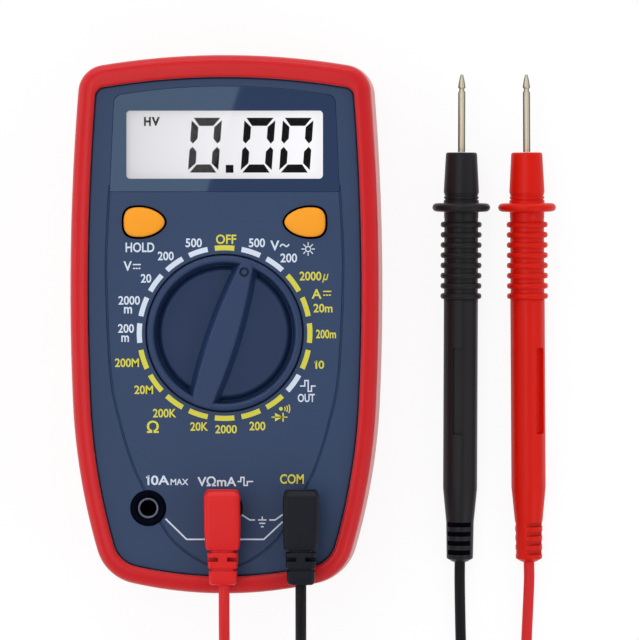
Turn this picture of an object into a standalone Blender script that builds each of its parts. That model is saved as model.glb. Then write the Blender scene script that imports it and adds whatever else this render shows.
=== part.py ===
"""Hand-held digital multimeter with its two test leads, lying on its back.

Units are metres. +Z points out of the face, +Y to the display end, and the origin is
at the centre of the back. Every piece is one object, at its place in the assembly.
"""
import math

import bmesh
import bpy
from mathutils import Matrix
from mathutils import Vector

# Case outline, seen from the front
CASE_WIDTH = 0.0754
CASE_LENGTH = 0.1300
SIDE_ARC_RADIUS = 0.600
SIDE_ARC_PLACE = 0.0083
LOWER_SIDE_RADIUS = 0.152
LOWER_SIDE_DROP = 0.0268
TOP_ARC_RADIUS = 0.179
BOTTOM_ARC_RADIUS = 0.0995
TOP_CORNER_RADIUS = 0.0077
BOTTOM_CORNER_RADIUS = 0.0123
LEAST_CORNER_RADIUS = 0.0008

# Running and seating gaps
CLEARANCE = 0.0003
KNOB_CLEARANCE = 0.0003

# Case shells and holster, heights from the back
FACE_OVER_BOARD = 0.0088
FACE_THICKNESS = 0.0022
PARTING_HEIGHT = 0.0150
CASE_WALL = 0.0020
BACK_WALL = 0.0036
BACK_FILLET = 0.0018
HOLSTER_WALL = 0.0022
HOLSTER_DRAFT = 0.0011
DRAFT_START = 0.0090
HOLSTER_FRONT_LIP = 0.0052
TOP_LIP_EXTRA = 0.0012
HOLSTER_BACK_LIP = 0.0040
HOLSTER_FRONT_THICKNESS = 0.0022
HOLSTER_BACK_THICKNESS = 0.0020
RIM_RISE = 0.0016
RIM_ROUND = 0.0030
RIM_EDGE = 0.0006
BACK_ROUND = 0.0020

# Circuit board
BOARD_THICKNESS = 0.0016
BOARD_MARGIN = 0.0008

# Case screws and their bosses
SCREW_RADIUS = 0.0014
SCREW_HEAD_RADIUS = 0.0025
SCREW_HEAD_HEIGHT = 0.0018
SCREW_HEAD_RECESS = 0.0006
SCREW_TIP_RADIUS = 0.0006
SCREW_BITE = 0.0040
BOSS_WALL = 0.0010
TOP_BOSS_MARGIN = 0.0200
BOTTOM_BOSS_MARGIN = 0.0120

# Display window and stack
LENS_TOP_MARGIN = 0.0104
LENS_SIDE_MARGIN = 0.0104
LENS_LENGTH = 0.02325
LENS_CROWN = 0.0019
LENS_SIDE_LEAN = 0.00105
LENS_CORNER = 0.0022
LENS_FOOT_CORNER = 0.0004
LENS_THICKNESS = 0.0014
WINDOW_SIDE_BORDER = 0.0040
WINDOW_BOTTOM_BORDER = 0.00315
WINDOW_TOP_BORDER = 0.00395
GLASS_MARGIN = 0.0010
GLASS_THICKNESS = 0.0027
DISPLAY_FRAME_WALL = 0.0009
ZEBRA_WIDTH = 0.0022

# Push buttons
BUTTON_INSET = 0.00825
BUTTON_DROP = 0.00695
BUTTON_HALF_LENGTH = 0.00495
BUTTON_HALF_WIDTH = 0.00360
BUTTON_WIDEST = 0.22
BUTTON_BLUNT_POWER = 2.85
BUTTON_NARROW_POWER = 1.5
BUTTON_RISE = 0.0013
BUTTON_EDGE = 0.0006
BUTTON_CROWN_RISE = 0.0002
BUTTON_CROWN_INSET = 0.0018
BUTTON_FLANGE = 0.0008
BUTTON_FLANGE_THICKNESS = 0.0012
BUTTON_STEM_RADIUS = 0.0015
DOME_RADIUS = 0.0024
DOME_HEIGHT = 0.0016
DOME_SHOULDER_RADIUS = 0.0020
DOME_SHOULDER_DROP = 0.0006
DOME_TOP_RADIUS = 0.0011

# Selector knob
KNOB_DROP = 0.03345
KNOB_RADIUS = 0.01845
KNOB_RIM_WIDTH = 0.0017
KNOB_RISE = 0.0010
KNOB_DISH_DEPTH = 0.0036
KNOB_DISH_SLOPE = 0.0018
KNOB_FLANGE = 0.0013
KNOB_FLANGE_HEIGHT = 0.0044
KNOB_EDGE = 0.0004
KNOB_ANGLE = math.radians(-18.0)
GRIP_RISE = 0.0003
GRIP_POINTER_HALF = 0.0015
GRIP_MIDDLE_HALF = 0.0032
GRIP_TAIL_HALF = 0.0025
GRIP_MIDDLE_LOW = -0.0060
GRIP_MIDDLE_HIGH = 0.0020
POSITIONS = 20
DETENT_WALL = 0.0016
DETENT_DEPTH = 0.0008
BALL_RADIUS = 0.0012
SPRING_WIRE = 0.0004
SPRING_RADIUS = 0.0008
SPRING_TURNS = 4
SPRING_LENGTH = 0.0052
WIPER_LENGTH = 0.0070
WIPER_WIDTH = 0.0024
WIPER_FOOT = 0.0010
WIPER_SHEET = 0.0004
WIPER_TRACK = 0.0120

# Input jacks
JACK_PITCH = 0.0181
JACK_END_MARGIN = 0.0214
JACK_RADIUS = 0.0025
JACK_WALL = 0.00035
JACK_DEPTH = 0.0205
JACK_SINK = 0.0003
COLLAR_RADIUS = 0.0041
COLLAR_RISE = 0.0004
COLLAR_FLANGE = 0.0012
COLLAR_FLANGE_THICKNESS = 0.0016
COLLAR_DEPTH = 0.0060

# Battery, its door and snap
BATTERY_LENGTH = 0.0485
BATTERY_WIDTH = 0.0265
BATTERY_HEIGHT = 0.0175
BATTERY_GAP = 0.0007
BATTERY_FROM_JACKS = 0.0256
BATTERY_EDGE = 0.0015
DOOR_MARGIN = 0.0030
DOOR_THICKNESS = 0.0020
DOOR_RECESS = 0.0003
DOOR_CORNER = 0.0020
DOOR_TAB = 0.0080
DOOR_TAB_HALF_WIDTH = 0.0050
DOOR_SCREW_LENGTH = 0.0060
DOOR_HEAD_HEIGHT = 0.0010
SNAP_THICKNESS = 0.0036
SNAP_HEIGHT = 0.0120
WIRE_SPREAD = 0.0080
WIRE_BOW = 0.0003
WIRE_RADIUS = 0.0006

# Parts on the circuit board and the back
FUSE_RADIUS = 0.0026
FUSE_LENGTH = 0.0200
FUSE_PLACE_Y = 0.0170
FUSE_CLIP_PITCH = 0.0150
FUSE_CLIP_LENGTH = 0.0040
FUSE_CLIP_SHEET = 0.0006
CHIP_SIDE = 0.0120
CHIP_THICKNESS = 0.0020
CHIP_DROP = 0.0146
BUZZER_RADIUS = 0.0100
BUZZER_THICKNESS = 0.0006
BUZZER_DROP = 0.0166
SHUNT_SPAN = 0.0160
SHUNT_DROP = 0.0045
SHUNT_RADIUS = 0.0008
SHUNT_BEND = 0.0020
SHUNT_FROM_JACKS = 0.0071

# Plugs of the test leads
PIN_RADIUS = 0.00185
PIN_LENGTH = 0.0185
PIN_POINT = 0.0011
PIN_END_RADIUS = 0.0009
PLUG_BARREL_RADIUS = 0.0037
PLUG_HALF_WIDTH = 0.0042
PLUG_HALF_HEIGHT = 0.0042
PLUG_NOSE = 0.0046
PLUG_LENGTH = 0.0224
PLUG_TAIL_HALF = 0.0032
PLUG_SHOULDER = 0.0130
PLUG_BEVEL = 0.0016
PLUG_ROUND = 0.0023

# Test probes
PROBE_BLACK_X = 0.0568
PROBE_RED_X = 0.0727
PROBE_TIP_Y = 0.0603
PIN_TIP_LENGTH = 0.0188
PIN_TIP_RADIUS = 0.00095
PIN_TIP_POINT = 0.0032
PIN_TIP_END = 0.00015
NOSE_LENGTH = 0.0123
NOSE_RADIUS = 0.00368
BARREL_RADIUS = 0.00415
GUARD_RADIUS = 0.0070
GUARD_WIDTH = 0.0020
RIB_COUNT = 8
RIB_PITCH = 0.00247
RIB_RADIUS = 0.00485
RIB_START = 0.00167
HANDLE_RADIUS = 0.0040
HANDLE_LENGTH = 0.0455
TAIL_LENGTH = 0.0175
TAIL_TAPER = 0.0080
TAIL_SHOULDER_RADIUS = 0.0032
TAIL_RADIUS = 0.0030

# Cords of the test leads
CORD_RADIUS = 0.0013
CORD_STEP = 0.0065
COIL_PITCH = 0.0031
COIL_LAYER = 0.0031
COIL_INNER_RADIUS = 0.0090
COIL_POINTS = 24
BLACK_COIL_TURNS = 3.5
RED_COIL_TURNS = 3.0
BLACK_COIL_Y = -0.1100
RED_COIL_Y = -0.1570
TIE_SHEET = 0.0005
TIE_WIDTH = 0.0040

# How far a joined-on boss or wall sinks into the shell that carries it
JOIN = 0.0005

# Fineness of round shapes
ROUND_LARGE = 48
ROUND_MEDIUM = 20
ROUND_SMALL = 12

# Levels and insets that follow from the sizes above
BODY_INSET = HOLSTER_WALL + CLEARANCE
WALL_INSET = BODY_INSET + CASE_WALL
FACE_INSET = HOLSTER_FRONT_LIP + CLEARANCE
BATTERY_LOW = DOOR_RECESS + DOOR_THICKNESS + CLEARANCE
BOARD_UNDER = BATTERY_LOW + BATTERY_HEIGHT + BATTERY_GAP
BOARD_TOP = BOARD_UNDER + BOARD_THICKNESS
FACE_HEIGHT = BOARD_TOP + FACE_OVER_BOARD
RIM_TOP = FACE_HEIGHT + RIM_RISE
SHOULDER = RIM_TOP - HOLSTER_FRONT_THICKNESS - CLEARANCE
FACE_UNDER = FACE_HEIGHT - FACE_THICKNESS
BOSS_RADIUS = SCREW_RADIUS + CLEARANCE + BOSS_WALL
BOSS_INSET = WALL_INSET + CLEARANCE + BOSS_RADIUS
TOP_BOSS_PLACE = CASE_LENGTH / 2.0 - TOP_BOSS_MARGIN
BOTTOM_BOSS_PLACE = BOTTOM_BOSS_MARGIN - CASE_LENGTH / 2.0
LENS_HALF_WIDTH = CASE_WIDTH / 2.0 - LENS_SIDE_MARGIN
LENS_SIDE_TOP = CASE_LENGTH / 2.0 - LENS_TOP_MARGIN
LENS_BOTTOM = LENS_SIDE_TOP - LENS_LENGTH
WINDOW_HALF_WIDTH = LENS_HALF_WIDTH - WINDOW_SIDE_BORDER
WINDOW_TOP = LENS_SIDE_TOP - WINDOW_TOP_BORDER
WINDOW_BOTTOM = LENS_BOTTOM + WINDOW_BOTTOM_BORDER
BUTTON_PLACE_X = LENS_HALF_WIDTH - BUTTON_INSET
BUTTON_PLACE_Y = LENS_BOTTOM - BUTTON_DROP
KNOB_PLACE_Y = LENS_BOTTOM - KNOB_DROP
JACK_PLACE_Y = JACK_END_MARGIN - CASE_LENGTH / 2.0
BATTERY_PLACE_Y = JACK_PLACE_Y + BATTERY_FROM_JACKS
SHUNT_PLACE_Y = JACK_PLACE_Y + SHUNT_FROM_JACKS
CHIP_PLACE_Y = LENS_SIDE_TOP - CHIP_DROP
BUZZER_PLACE_Y = LENS_SIDE_TOP - BUZZER_DROP
JACK_BORE = JACK_RADIUS - JACK_WALL
JACK_TOP = FACE_HEIGHT - JACK_SINK
COLLAR_TOP = FACE_HEIGHT + COLLAR_RISE
FLANGE_TOP = FACE_UNDER - CLEARANCE
FLANGE_LOW = FLANGE_TOP - KNOB_FLANGE_HEIGHT
DETENT_CREST = KNOB_RADIUS + KNOB_FLANGE + KNOB_CLEARANCE + CLEARANCE
PLUG_AXIS = RIM_TOP + CLEARANCE + PLUG_HALF_HEIGHT
PLUG_END = JACK_PLACE_Y + PLUG_NOSE - PLUG_LENGTH
GUARD_START = PIN_TIP_LENGTH + NOSE_LENGTH
HANDLE_START = GUARD_START + GUARD_WIDTH + RIB_START + RIB_COUNT * RIB_PITCH
HANDLE_END = HANDLE_START + HANDLE_LENGTH
PROBE_LENGTH = HANDLE_END + TAIL_LENGTH
PROBE_SLOPE = math.asin((GUARD_RADIUS - HANDLE_RADIUS) / (HANDLE_END - GUARD_START))
CORD_FLOOR = TIE_SHEET + CLEARANCE + CORD_RADIUS


def clear_scene():
    for item in list(bpy.data.objects):
        bpy.data.objects.remove(item, do_unlink=True)


def material(name, colour, roughness, metallic=0.0):
    made = bpy.data.materials.get(name)
    if made is None:
        made = bpy.data.materials.new(name)
        made.use_nodes = True
        shader = made.node_tree.nodes["Principled BSDF"]
        shader.inputs["Base Color"].default_value = (*colour, 1.0)
        shader.inputs["Roughness"].default_value = roughness
        shader.inputs["Metallic"].default_value = metallic
        made.diffuse_color = (*colour, 1.0)
    return made


def red_rubber():
    return material("red_rubber", (0.62, 0.025, 0.03), 0.45)


def blue_plastic():
    return material("blue_plastic", (0.045, 0.075, 0.14), 0.5)


def black_plastic():
    return material("black_plastic", (0.02, 0.02, 0.022), 0.45)


def orange_rubber():
    return material("orange_rubber", (0.95, 0.36, 0.03), 0.5)


def clear_plastic():
    return material("clear_plastic", (0.25, 0.3, 0.38), 0.08)


def display_glass():
    return material("display_glass", (0.75, 0.76, 0.8), 0.15)


def white_plastic():
    return material("white_plastic", (0.8, 0.8, 0.8), 0.5)


def board_laminate():
    return material("board_laminate", (0.05, 0.22, 0.08), 0.5)


def steel():
    return material("steel", (0.6, 0.6, 0.6), 0.3, 1.0)


def brass():
    return material("brass", (0.72, 0.55, 0.25), 0.3, 1.0)


def copper():
    return material("copper", (0.75, 0.4, 0.25), 0.3, 1.0)


def fuse_glass():
    return material("fuse_glass", (0.8, 0.85, 0.85), 0.1)


def battery_jacket():
    return material("battery_jacket", (0.06, 0.06, 0.08), 0.4)


def finish(name, mesh, surface, origin=(0.0, 0.0, 0.0)):
    """Turn a bmesh in world places into a named object whose origin is where it turns or slides."""
    bmesh.ops.recalc_face_normals(mesh, faces=mesh.faces[:])
    bmesh.ops.translate(mesh, verts=mesh.verts[:], vec=-Vector(origin))
    data = bpy.data.meshes.new(name)
    mesh.to_mesh(data)
    mesh.free()
    data.materials.append(surface)
    data.shade_smooth()
    data.set_sharp_from_angle(angle=math.radians(35.0))
    made = bpy.data.objects.new(name, data)
    made.location = origin
    bpy.context.collection.objects.link(made)
    return made


def combine(target, tools, operation):
    """Cut tools from the target, or join them to it, and leave one plain mesh."""
    for tool in tools:
        step = target.modifiers.new("shape", "BOOLEAN")
        step.operation = operation
        step.solver = "EXACT"
        step.object = tool
        bpy.context.view_layer.update()
        graph = bpy.context.evaluated_depsgraph_get()
        data = bpy.data.meshes.new_from_object(target.evaluated_get(graph))
        target.modifiers.remove(step)
        old = target.data
        target.data = data
        data.name = target.name
        bpy.data.meshes.remove(old)
        bpy.data.objects.remove(tool, do_unlink=True)
    return target


def loft(loops, ring=False):
    """Skin a row of loops with equal counts. A ring closes on itself, otherwise the ends are capped."""
    mesh = bmesh.new()
    rows = []
    for loop in loops:
        rows.append([mesh.verts.new(point) for point in loop])
    count = len(rows[0])
    last = len(rows) if ring else len(rows) - 1
    for row in range(last):
        here = rows[row]
        there = rows[(row + 1) % len(rows)]
        for index in range(count):
            after = (index + 1) % count
            mesh.faces.new((here[index], here[after], there[after], there[index]))
    if not ring:
        mesh.faces.new(rows[0])
        mesh.faces.new(rows[-1])
    return mesh


def at_height(outline, height):
    return [(x, y, height) for x, y in outline]


def prism(outline, low, high):
    return loft([at_height(outline, low), at_height(outline, high)])


def circle(x, y, radius, count):
    turn = 2.0 * math.pi / count
    return [(x + radius * math.cos(turn * k), y + radius * math.sin(turn * k)) for k in range(count)]


def turned(profile, x, y, count, ring=False):
    """Solid of revolution about an upright axis from (radius, height) pairs."""
    return loft([at_height(circle(x, y, radius, count), height) for radius, height in profile], ring)


def rectangle(left, right, low, high):
    return [(left, low), (right, low), (right, high), (left, high)]


def rounded(corners, radius, steps=4):
    """Round the corners of a convex outline, alike or each by its own radius."""
    radii = radius if isinstance(radius, tuple) else (radius,) * len(corners)
    made = []
    for index, corner in enumerate(corners):
        here = Vector(corner)
        before = (Vector(corners[index - 1]) - here).normalized()
        after = (Vector(corners[(index + 1) % len(corners)]) - here).normalized()
        half = before.angle(after) / 2.0
        reach = radii[index] / math.tan(half)
        centre = here + (before + after).normalized() * radii[index] / math.sin(half)
        start = here + before * reach - centre
        sweep = math.pi - 2.0 * half
        sign = 1.0 if before.x * after.y - before.y * after.x < 0.0 else -1.0
        for step in range(steps + 1):
            spin = Matrix.Rotation(sign * sweep * step / steps, 2)
            made.append(tuple(centre + spin @ start))
    return made


def corner_centre(first, first_radius, second, second_radius):
    """Right-hand crossing of two circles, which is the centre of the corner arc between them."""
    span = second - first
    along = (first_radius ** 2 - second_radius ** 2 + span.length ** 2) / (2.0 * span.length)
    across = math.sqrt(first_radius ** 2 - along ** 2)
    unit = span.normalized()
    side = Vector((-unit.y, unit.x))
    middle = first + unit * along
    ends = [middle + side * across, middle - side * across]
    return max(ends, key=lambda point: point.x)


def arc(centre, radius, start, end, steps):
    made = []
    for step in range(steps):
        angle = start + (end - start) * step / steps
        made.append((centre.x + radius * math.cos(angle), centre.y + radius * math.sin(angle)))
    return made


def heading(start, end):
    return math.atan2(end.y - start.y, end.x - start.x)


def case_outline(inset, top_drop=0.0):
    """Barrel-sided outline of the case, moved inwards by the inset, with its top end lowered by a drop."""
    top = Vector((0.0, CASE_LENGTH / 2.0 - TOP_ARC_RADIUS - top_drop))
    side = Vector((CASE_WIDTH / 2.0 - SIDE_ARC_RADIUS, SIDE_ARC_PLACE))
    side_turn = -math.asin(LOWER_SIDE_DROP / SIDE_ARC_RADIUS)
    span = SIDE_ARC_RADIUS - LOWER_SIDE_RADIUS
    lower_side = side + span * Vector((math.cos(side_turn), math.sin(side_turn)))
    bottom = Vector((0.0, BOTTOM_ARC_RADIUS - CASE_LENGTH / 2.0))
    top_corner = max(TOP_CORNER_RADIUS - inset, LEAST_CORNER_RADIUS)
    bottom_corner = max(BOTTOM_CORNER_RADIUS - inset, LEAST_CORNER_RADIUS)
    top_radius = TOP_ARC_RADIUS - inset
    side_radius = SIDE_ARC_RADIUS - inset
    lower_radius = LOWER_SIDE_RADIUS - inset
    bottom_radius = BOTTOM_ARC_RADIUS - inset
    upper = corner_centre(top, top_radius - top_corner, side, side_radius - top_corner)
    lower = corner_centre(bottom, bottom_radius - bottom_corner, lower_side, lower_radius - bottom_corner)
    top_end = heading(top, upper)
    side_start = heading(side, upper)
    side_end = heading(lower_side, lower)
    bottom_start = heading(bottom, lower)
    right = arc(top, top_radius, math.pi / 2.0, top_end, 4)
    right += arc(upper, top_corner, top_end, side_start, 5)
    right += arc(side, side_radius, side_start, side_turn, 3)
    right += arc(lower_side, lower_radius, side_turn, side_end, 4)
    right += arc(lower, bottom_corner, side_end, bottom_start, 5)
    right += arc(bottom, bottom_radius, bottom_start, -math.pi / 2.0, 4)
    left = [(-x, y) for x, y in reversed(right[1:])]
    return right + [(0.0, inset - CASE_LENGTH / 2.0)] + left


def case_loft(section, ring=False):
    """Skin of the case outline through (inset, height, top drop) places."""
    return loft([at_height(case_outline(inset, drop), height) for inset, height, drop in section], ring)


def outline_x(inset, height):
    """Where the right side of the inset outline crosses a place along the length."""
    outline = case_outline(inset)
    for (x, y), (next_x, next_y) in zip(outline, outline[1:]):
        if x >= 0.0 and y >= height > next_y:
            return x + (next_x - x) * (y - height) / (y - next_y)
    return 0.0


def boss_places():
    """Where the four case screws stand, beside the inner wall."""
    places = []
    for sign in (-1.0, 1.0):
        for height in (TOP_BOSS_PLACE, BOTTOM_BOSS_PLACE):
            places.append((sign * outline_x(BOSS_INSET, height), height))
    return places


def jack_places():
    return [(-JACK_PITCH, JACK_PLACE_Y), (0.0, JACK_PLACE_Y), (JACK_PITCH, JACK_PLACE_Y)]


def cylinder(x, y, radius, low, high, count):
    return turned([(radius, low), (radius, high)], x, y, count)


def tube(x, y, outer, inner, low, high, count):
    return turned([(inner, low), (outer, low), (outer, high), (inner, high)], x, y, count, ring=True)


def tool(mesh):
    """A shape that is cut away or joined on."""
    return finish("tool", mesh, black_plastic())


def make_holster():
    """Rubber sleeve round the sides, with a lip over the face and one under the back."""
    corner = BACK_ROUND * (1.0 - math.cos(math.pi / 4.0))
    section = [(BACK_ROUND, 0.0, 0.0), (corner, corner, 0.0)]
    section += [(0.0, BACK_ROUND, 0.0), (0.0, DRAFT_START, 0.0)]
    for step in range(4):
        angle = math.pi / 2.0 * step / 3.0
        inset = HOLSTER_DRAFT + RIM_ROUND * (1.0 - math.cos(angle))
        section.append((inset, RIM_TOP - RIM_ROUND * (1.0 - math.sin(angle)), 0.0))
    lip_under = RIM_TOP - HOLSTER_FRONT_THICKNESS
    section.append((HOLSTER_FRONT_LIP - RIM_EDGE, RIM_TOP, TOP_LIP_EXTRA))
    section.append((HOLSTER_FRONT_LIP, RIM_TOP - RIM_EDGE, TOP_LIP_EXTRA))
    section.append((HOLSTER_FRONT_LIP, lip_under, TOP_LIP_EXTRA))
    section.append((HOLSTER_WALL, lip_under, 0.0))
    section.append((HOLSTER_WALL, HOLSTER_BACK_THICKNESS, 0.0))
    section.append((HOLSTER_BACK_LIP, HOLSTER_BACK_THICKNESS, 0.0))
    section.append((HOLSTER_BACK_LIP, 0.0, 0.0))
    return finish("holster", case_loft(section, ring=True), red_rubber())


def lens_outline(grow):
    """Display panel: straight bottom, slightly leaning sides and a crowned top."""
    wide = LENS_HALF_WIDTH + grow
    narrow = wide - LENS_SIDE_LEAN
    low = LENS_BOTTOM - grow
    high = LENS_SIDE_TOP + grow
    radii = (LENS_FOOT_CORNER, LENS_FOOT_CORNER, LENS_CORNER, LENS_CORNER)
    corners = rounded([(-wide, low), (wide, low), (narrow, high), (-narrow, high)], radii)
    flat_half = narrow - LENS_CORNER
    split = len(corners) * 3 // 4
    crown = []
    for step in range(1, 8):
        share = 1.0 - 2.0 * step / 8.0
        crown.append((flat_half * share, high + LENS_CROWN * (1.0 - share ** 2)))
    return corners[:split] + crown + corners[split:]


def window_outline(grow):
    half = WINDOW_HALF_WIDTH + grow
    return rectangle(-half, half, WINDOW_BOTTOM - grow, WINDOW_TOP + grow)


def button_outline(sign, grow):
    """Teardrop, blunt towards the case side and narrow towards the middle."""
    middle = BUTTON_PLACE_X + BUTTON_WIDEST * BUTTON_HALF_LENGTH
    made = []
    for step in range(ROUND_MEDIUM):
        angle = 2.0 * math.pi * step / ROUND_MEDIUM
        outward = math.cos(angle) > 0.0
        power = 2.0 / (BUTTON_BLUNT_POWER if outward else BUTTON_NARROW_POWER)
        reach = BUTTON_HALF_LENGTH * (1.0 - BUTTON_WIDEST if outward else 1.0 + BUTTON_WIDEST) + grow
        along = math.copysign(abs(math.cos(angle)) ** power, math.cos(angle))
        across = math.copysign(abs(math.sin(angle)) ** power, math.sin(angle))
        x = sign * (middle + reach * along)
        made.append((x, BUTTON_PLACE_Y + (BUTTON_HALF_WIDTH + grow) * across))
    return made


def detent_ring():
    """Wall under the face with one hollow for each knob position."""
    per_position = 4
    count = POSITIONS * per_position
    outer = DETENT_CREST + DETENT_DEPTH + DETENT_WALL
    hollows = []
    for step in range(count):
        angle = math.pi / 2.0 + 2.0 * math.pi * step / count
        wave = math.cos(2.0 * math.pi * step / per_position)
        radius = DETENT_CREST + DETENT_DEPTH * (1.0 + wave) / 2.0
        hollows.append((radius * math.cos(angle), KNOB_PLACE_Y + radius * math.sin(angle)))
    rim = []
    for step in range(count):
        angle = math.pi / 2.0 + 2.0 * math.pi * step / count
        rim.append((outer * math.cos(angle), KNOB_PLACE_Y + outer * math.sin(angle)))
    low = FLANGE_LOW
    high = FACE_UNDER + JOIN
    loops = [at_height(hollows, low), at_height(rim, low), at_height(rim, high), at_height(hollows, high)]
    return loft(loops, ring=True)


def make_front_case():
    """Front shell with its face openings, screw bosses and detent wall."""
    bottom = PARTING_HEIGHT + CLEARANCE
    section = [(WALL_INSET, FACE_UNDER, 0.0), (WALL_INSET, bottom, 0.0), (BODY_INSET, bottom, 0.0)]
    section += [(BODY_INSET, SHOULDER, 0.0), (FACE_INSET, SHOULDER, TOP_LIP_EXTRA)]
    section.append((FACE_INSET, FACE_HEIGHT, TOP_LIP_EXTRA))
    case = finish("front_case", case_loft(section), blue_plastic())
    added = [tool(detent_ring())]
    cuts = []
    for x, y in boss_places():
        low = BOARD_TOP + CLEARANCE
        added.append(tool(cylinder(x, y, BOSS_RADIUS, low, FACE_UNDER + JOIN, ROUND_SMALL)))
        hole = SCREW_RADIUS + CLEARANCE
        cuts.append(tool(cylinder(x, y, hole, low - JOIN, low + SCREW_BITE + CLEARANCE, ROUND_SMALL)))
    combine(case, added, "UNION")
    above = FACE_HEIGHT + JOIN
    below = FACE_UNDER - JOIN
    cuts.append(tool(prism(lens_outline(0.0), FACE_HEIGHT - LENS_THICKNESS - CLEARANCE, above)))
    cuts.append(tool(prism(window_outline(0.0), below, above)))
    cuts.append(tool(cylinder(0.0, KNOB_PLACE_Y, KNOB_RADIUS + KNOB_CLEARANCE, below, above, ROUND_LARGE)))
    for sign in (-1.0, 1.0):
        cuts.append(tool(prism(button_outline(sign, CLEARANCE), below, above)))
    for x, y in jack_places():
        cuts.append(tool(cylinder(x, y, COLLAR_RADIUS + CLEARANCE, below, above, ROUND_MEDIUM)))
    return combine(case, cuts, "DIFFERENCE")


def door_outline(grow):
    """Battery door with a screw tab towards the jacks."""
    half_x = BATTERY_LENGTH / 2.0 + DOOR_MARGIN + grow
    high = BATTERY_PLACE_Y + BATTERY_WIDTH / 2.0 + DOOR_MARGIN + grow
    low = BATTERY_PLACE_Y - BATTERY_WIDTH / 2.0 - DOOR_MARGIN - grow
    tab = DOOR_TAB_HALF_WIDTH + grow
    tip = low - DOOR_TAB
    body = rounded(rectangle(-half_x, half_x, low, high), DOOR_CORNER)
    end = [(-tab, low), (-tab, tip), (tab, tip), (tab, low)]
    split = len(body) // 4
    return body[:split] + end + body[split:]


def door_screw_place():
    low = BATTERY_PLACE_Y - BATTERY_WIDTH / 2.0 - DOOR_MARGIN
    return 0.0, low - DOOR_TAB / 2.0


def battery_outline(grow):
    half_x = BATTERY_LENGTH / 2.0 + grow
    half_y = BATTERY_WIDTH / 2.0 + grow
    return rectangle(-half_x, half_x, BATTERY_PLACE_Y - half_y, BATTERY_PLACE_Y + half_y)


def make_rear_case():
    """Rear shell with bosses, the battery opening and the recess for its door."""
    shoulder = HOLSTER_BACK_THICKNESS + CLEARANCE
    plateau = HOLSTER_BACK_LIP + CLEARANCE
    section = [(WALL_INSET + BACK_FILLET, BACK_WALL, 0.0), (WALL_INSET, BACK_WALL + BACK_FILLET, 0.0)]
    section += [(WALL_INSET, PARTING_HEIGHT, 0.0), (BODY_INSET, PARTING_HEIGHT, 0.0)]
    section += [(BODY_INSET, shoulder, 0.0), (plateau, shoulder, 0.0), (plateau, 0.0, 0.0)]
    case = finish("rear_case", case_loft(section), blue_plastic())
    added = []
    cuts = []
    base = BACK_WALL - JOIN
    hole = SCREW_RADIUS + CLEARANCE
    head = SCREW_HEAD_RADIUS + CLEARANCE
    for x, y in boss_places():
        top = BOARD_UNDER - CLEARANCE
        added.append(tool(cylinder(x, y, BOSS_RADIUS, base, top, ROUND_SMALL)))
        cuts.append(tool(cylinder(x, y, hole, -JOIN, top + JOIN, ROUND_SMALL)))
        seat = SCREW_HEAD_RECESS + SCREW_HEAD_HEIGHT + CLEARANCE
        cuts.append(tool(cylinder(x, y, head, -JOIN, seat, ROUND_SMALL)))
    x, y = door_screw_place()
    top = DOOR_RECESS + DOOR_HEAD_HEIGHT + DOOR_SCREW_LENGTH + CLEARANCE
    added.append(tool(cylinder(x, y, BOSS_RADIUS, base, top + BOSS_WALL, ROUND_SMALL)))
    cuts.append(tool(cylinder(x, y, hole, -JOIN, top, ROUND_SMALL)))
    combine(case, added, "UNION")
    ledge = DOOR_RECESS + DOOR_THICKNESS + CLEARANCE
    cuts.append(tool(prism(door_outline(CLEARANCE), -JOIN, ledge)))
    cuts.append(tool(prism(battery_outline(CLEARANCE), -JOIN, BACK_WALL + JOIN)))
    return combine(case, cuts, "DIFFERENCE")


def make_battery_door():
    x, y = door_screw_place()
    high = DOOR_RECESS + DOOR_THICKNESS
    door = finish("battery_door", prism(door_outline(0.0), DOOR_RECESS, high), blue_plastic())
    hole = tool(cylinder(x, y, SCREW_RADIUS + CLEARANCE, 0.0, high + JOIN, ROUND_SMALL))
    seat = DOOR_RECESS + DOOR_HEAD_HEIGHT + CLEARANCE
    sink = tool(cylinder(x, y, SCREW_HEAD_RADIUS + CLEARANCE, 0.0, seat, ROUND_SMALL))
    return combine(door, [hole, sink], "DIFFERENCE")


def screw(name, x, y, low, head_height, tip):
    neck = low + head_height
    profile = [(SCREW_HEAD_RADIUS, low), (SCREW_HEAD_RADIUS, neck), (SCREW_RADIUS, neck)]
    profile += [(SCREW_RADIUS, tip - SCREW_RADIUS), (SCREW_TIP_RADIUS, tip)]
    return finish(name, turned(profile, x, y, ROUND_SMALL), steel())


def make_screws():
    for number, (x, y) in enumerate(boss_places(), start=1):
        tip = BOARD_TOP + CLEARANCE + SCREW_BITE
        screw(f"case_screw_{number}", x, y, SCREW_HEAD_RECESS, SCREW_HEAD_HEIGHT, tip)
    x, y = door_screw_place()
    tip = DOOR_RECESS + DOOR_HEAD_HEIGHT + DOOR_SCREW_LENGTH
    screw("battery_door_screw", x, y, DOOR_RECESS, DOOR_HEAD_HEIGHT, tip)


def make_circuit_board():
    """Board clamped between the bosses, drilled for the screws and the jack tubes."""
    outline = case_outline(WALL_INSET + BOARD_MARGIN)
    board = finish("circuit_board", prism(outline, BOARD_UNDER, BOARD_TOP), board_laminate())
    cuts = []
    low = BOARD_UNDER - JOIN
    high = BOARD_TOP + JOIN
    for x, y in boss_places():
        cuts.append(tool(cylinder(x, y, SCREW_RADIUS + CLEARANCE, low, high, ROUND_SMALL)))
    for x, y in jack_places():
        cuts.append(tool(cylinder(x, y, JACK_RADIUS + CLEARANCE, low, high, ROUND_MEDIUM)))
    return combine(board, cuts, "DIFFERENCE")


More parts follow.
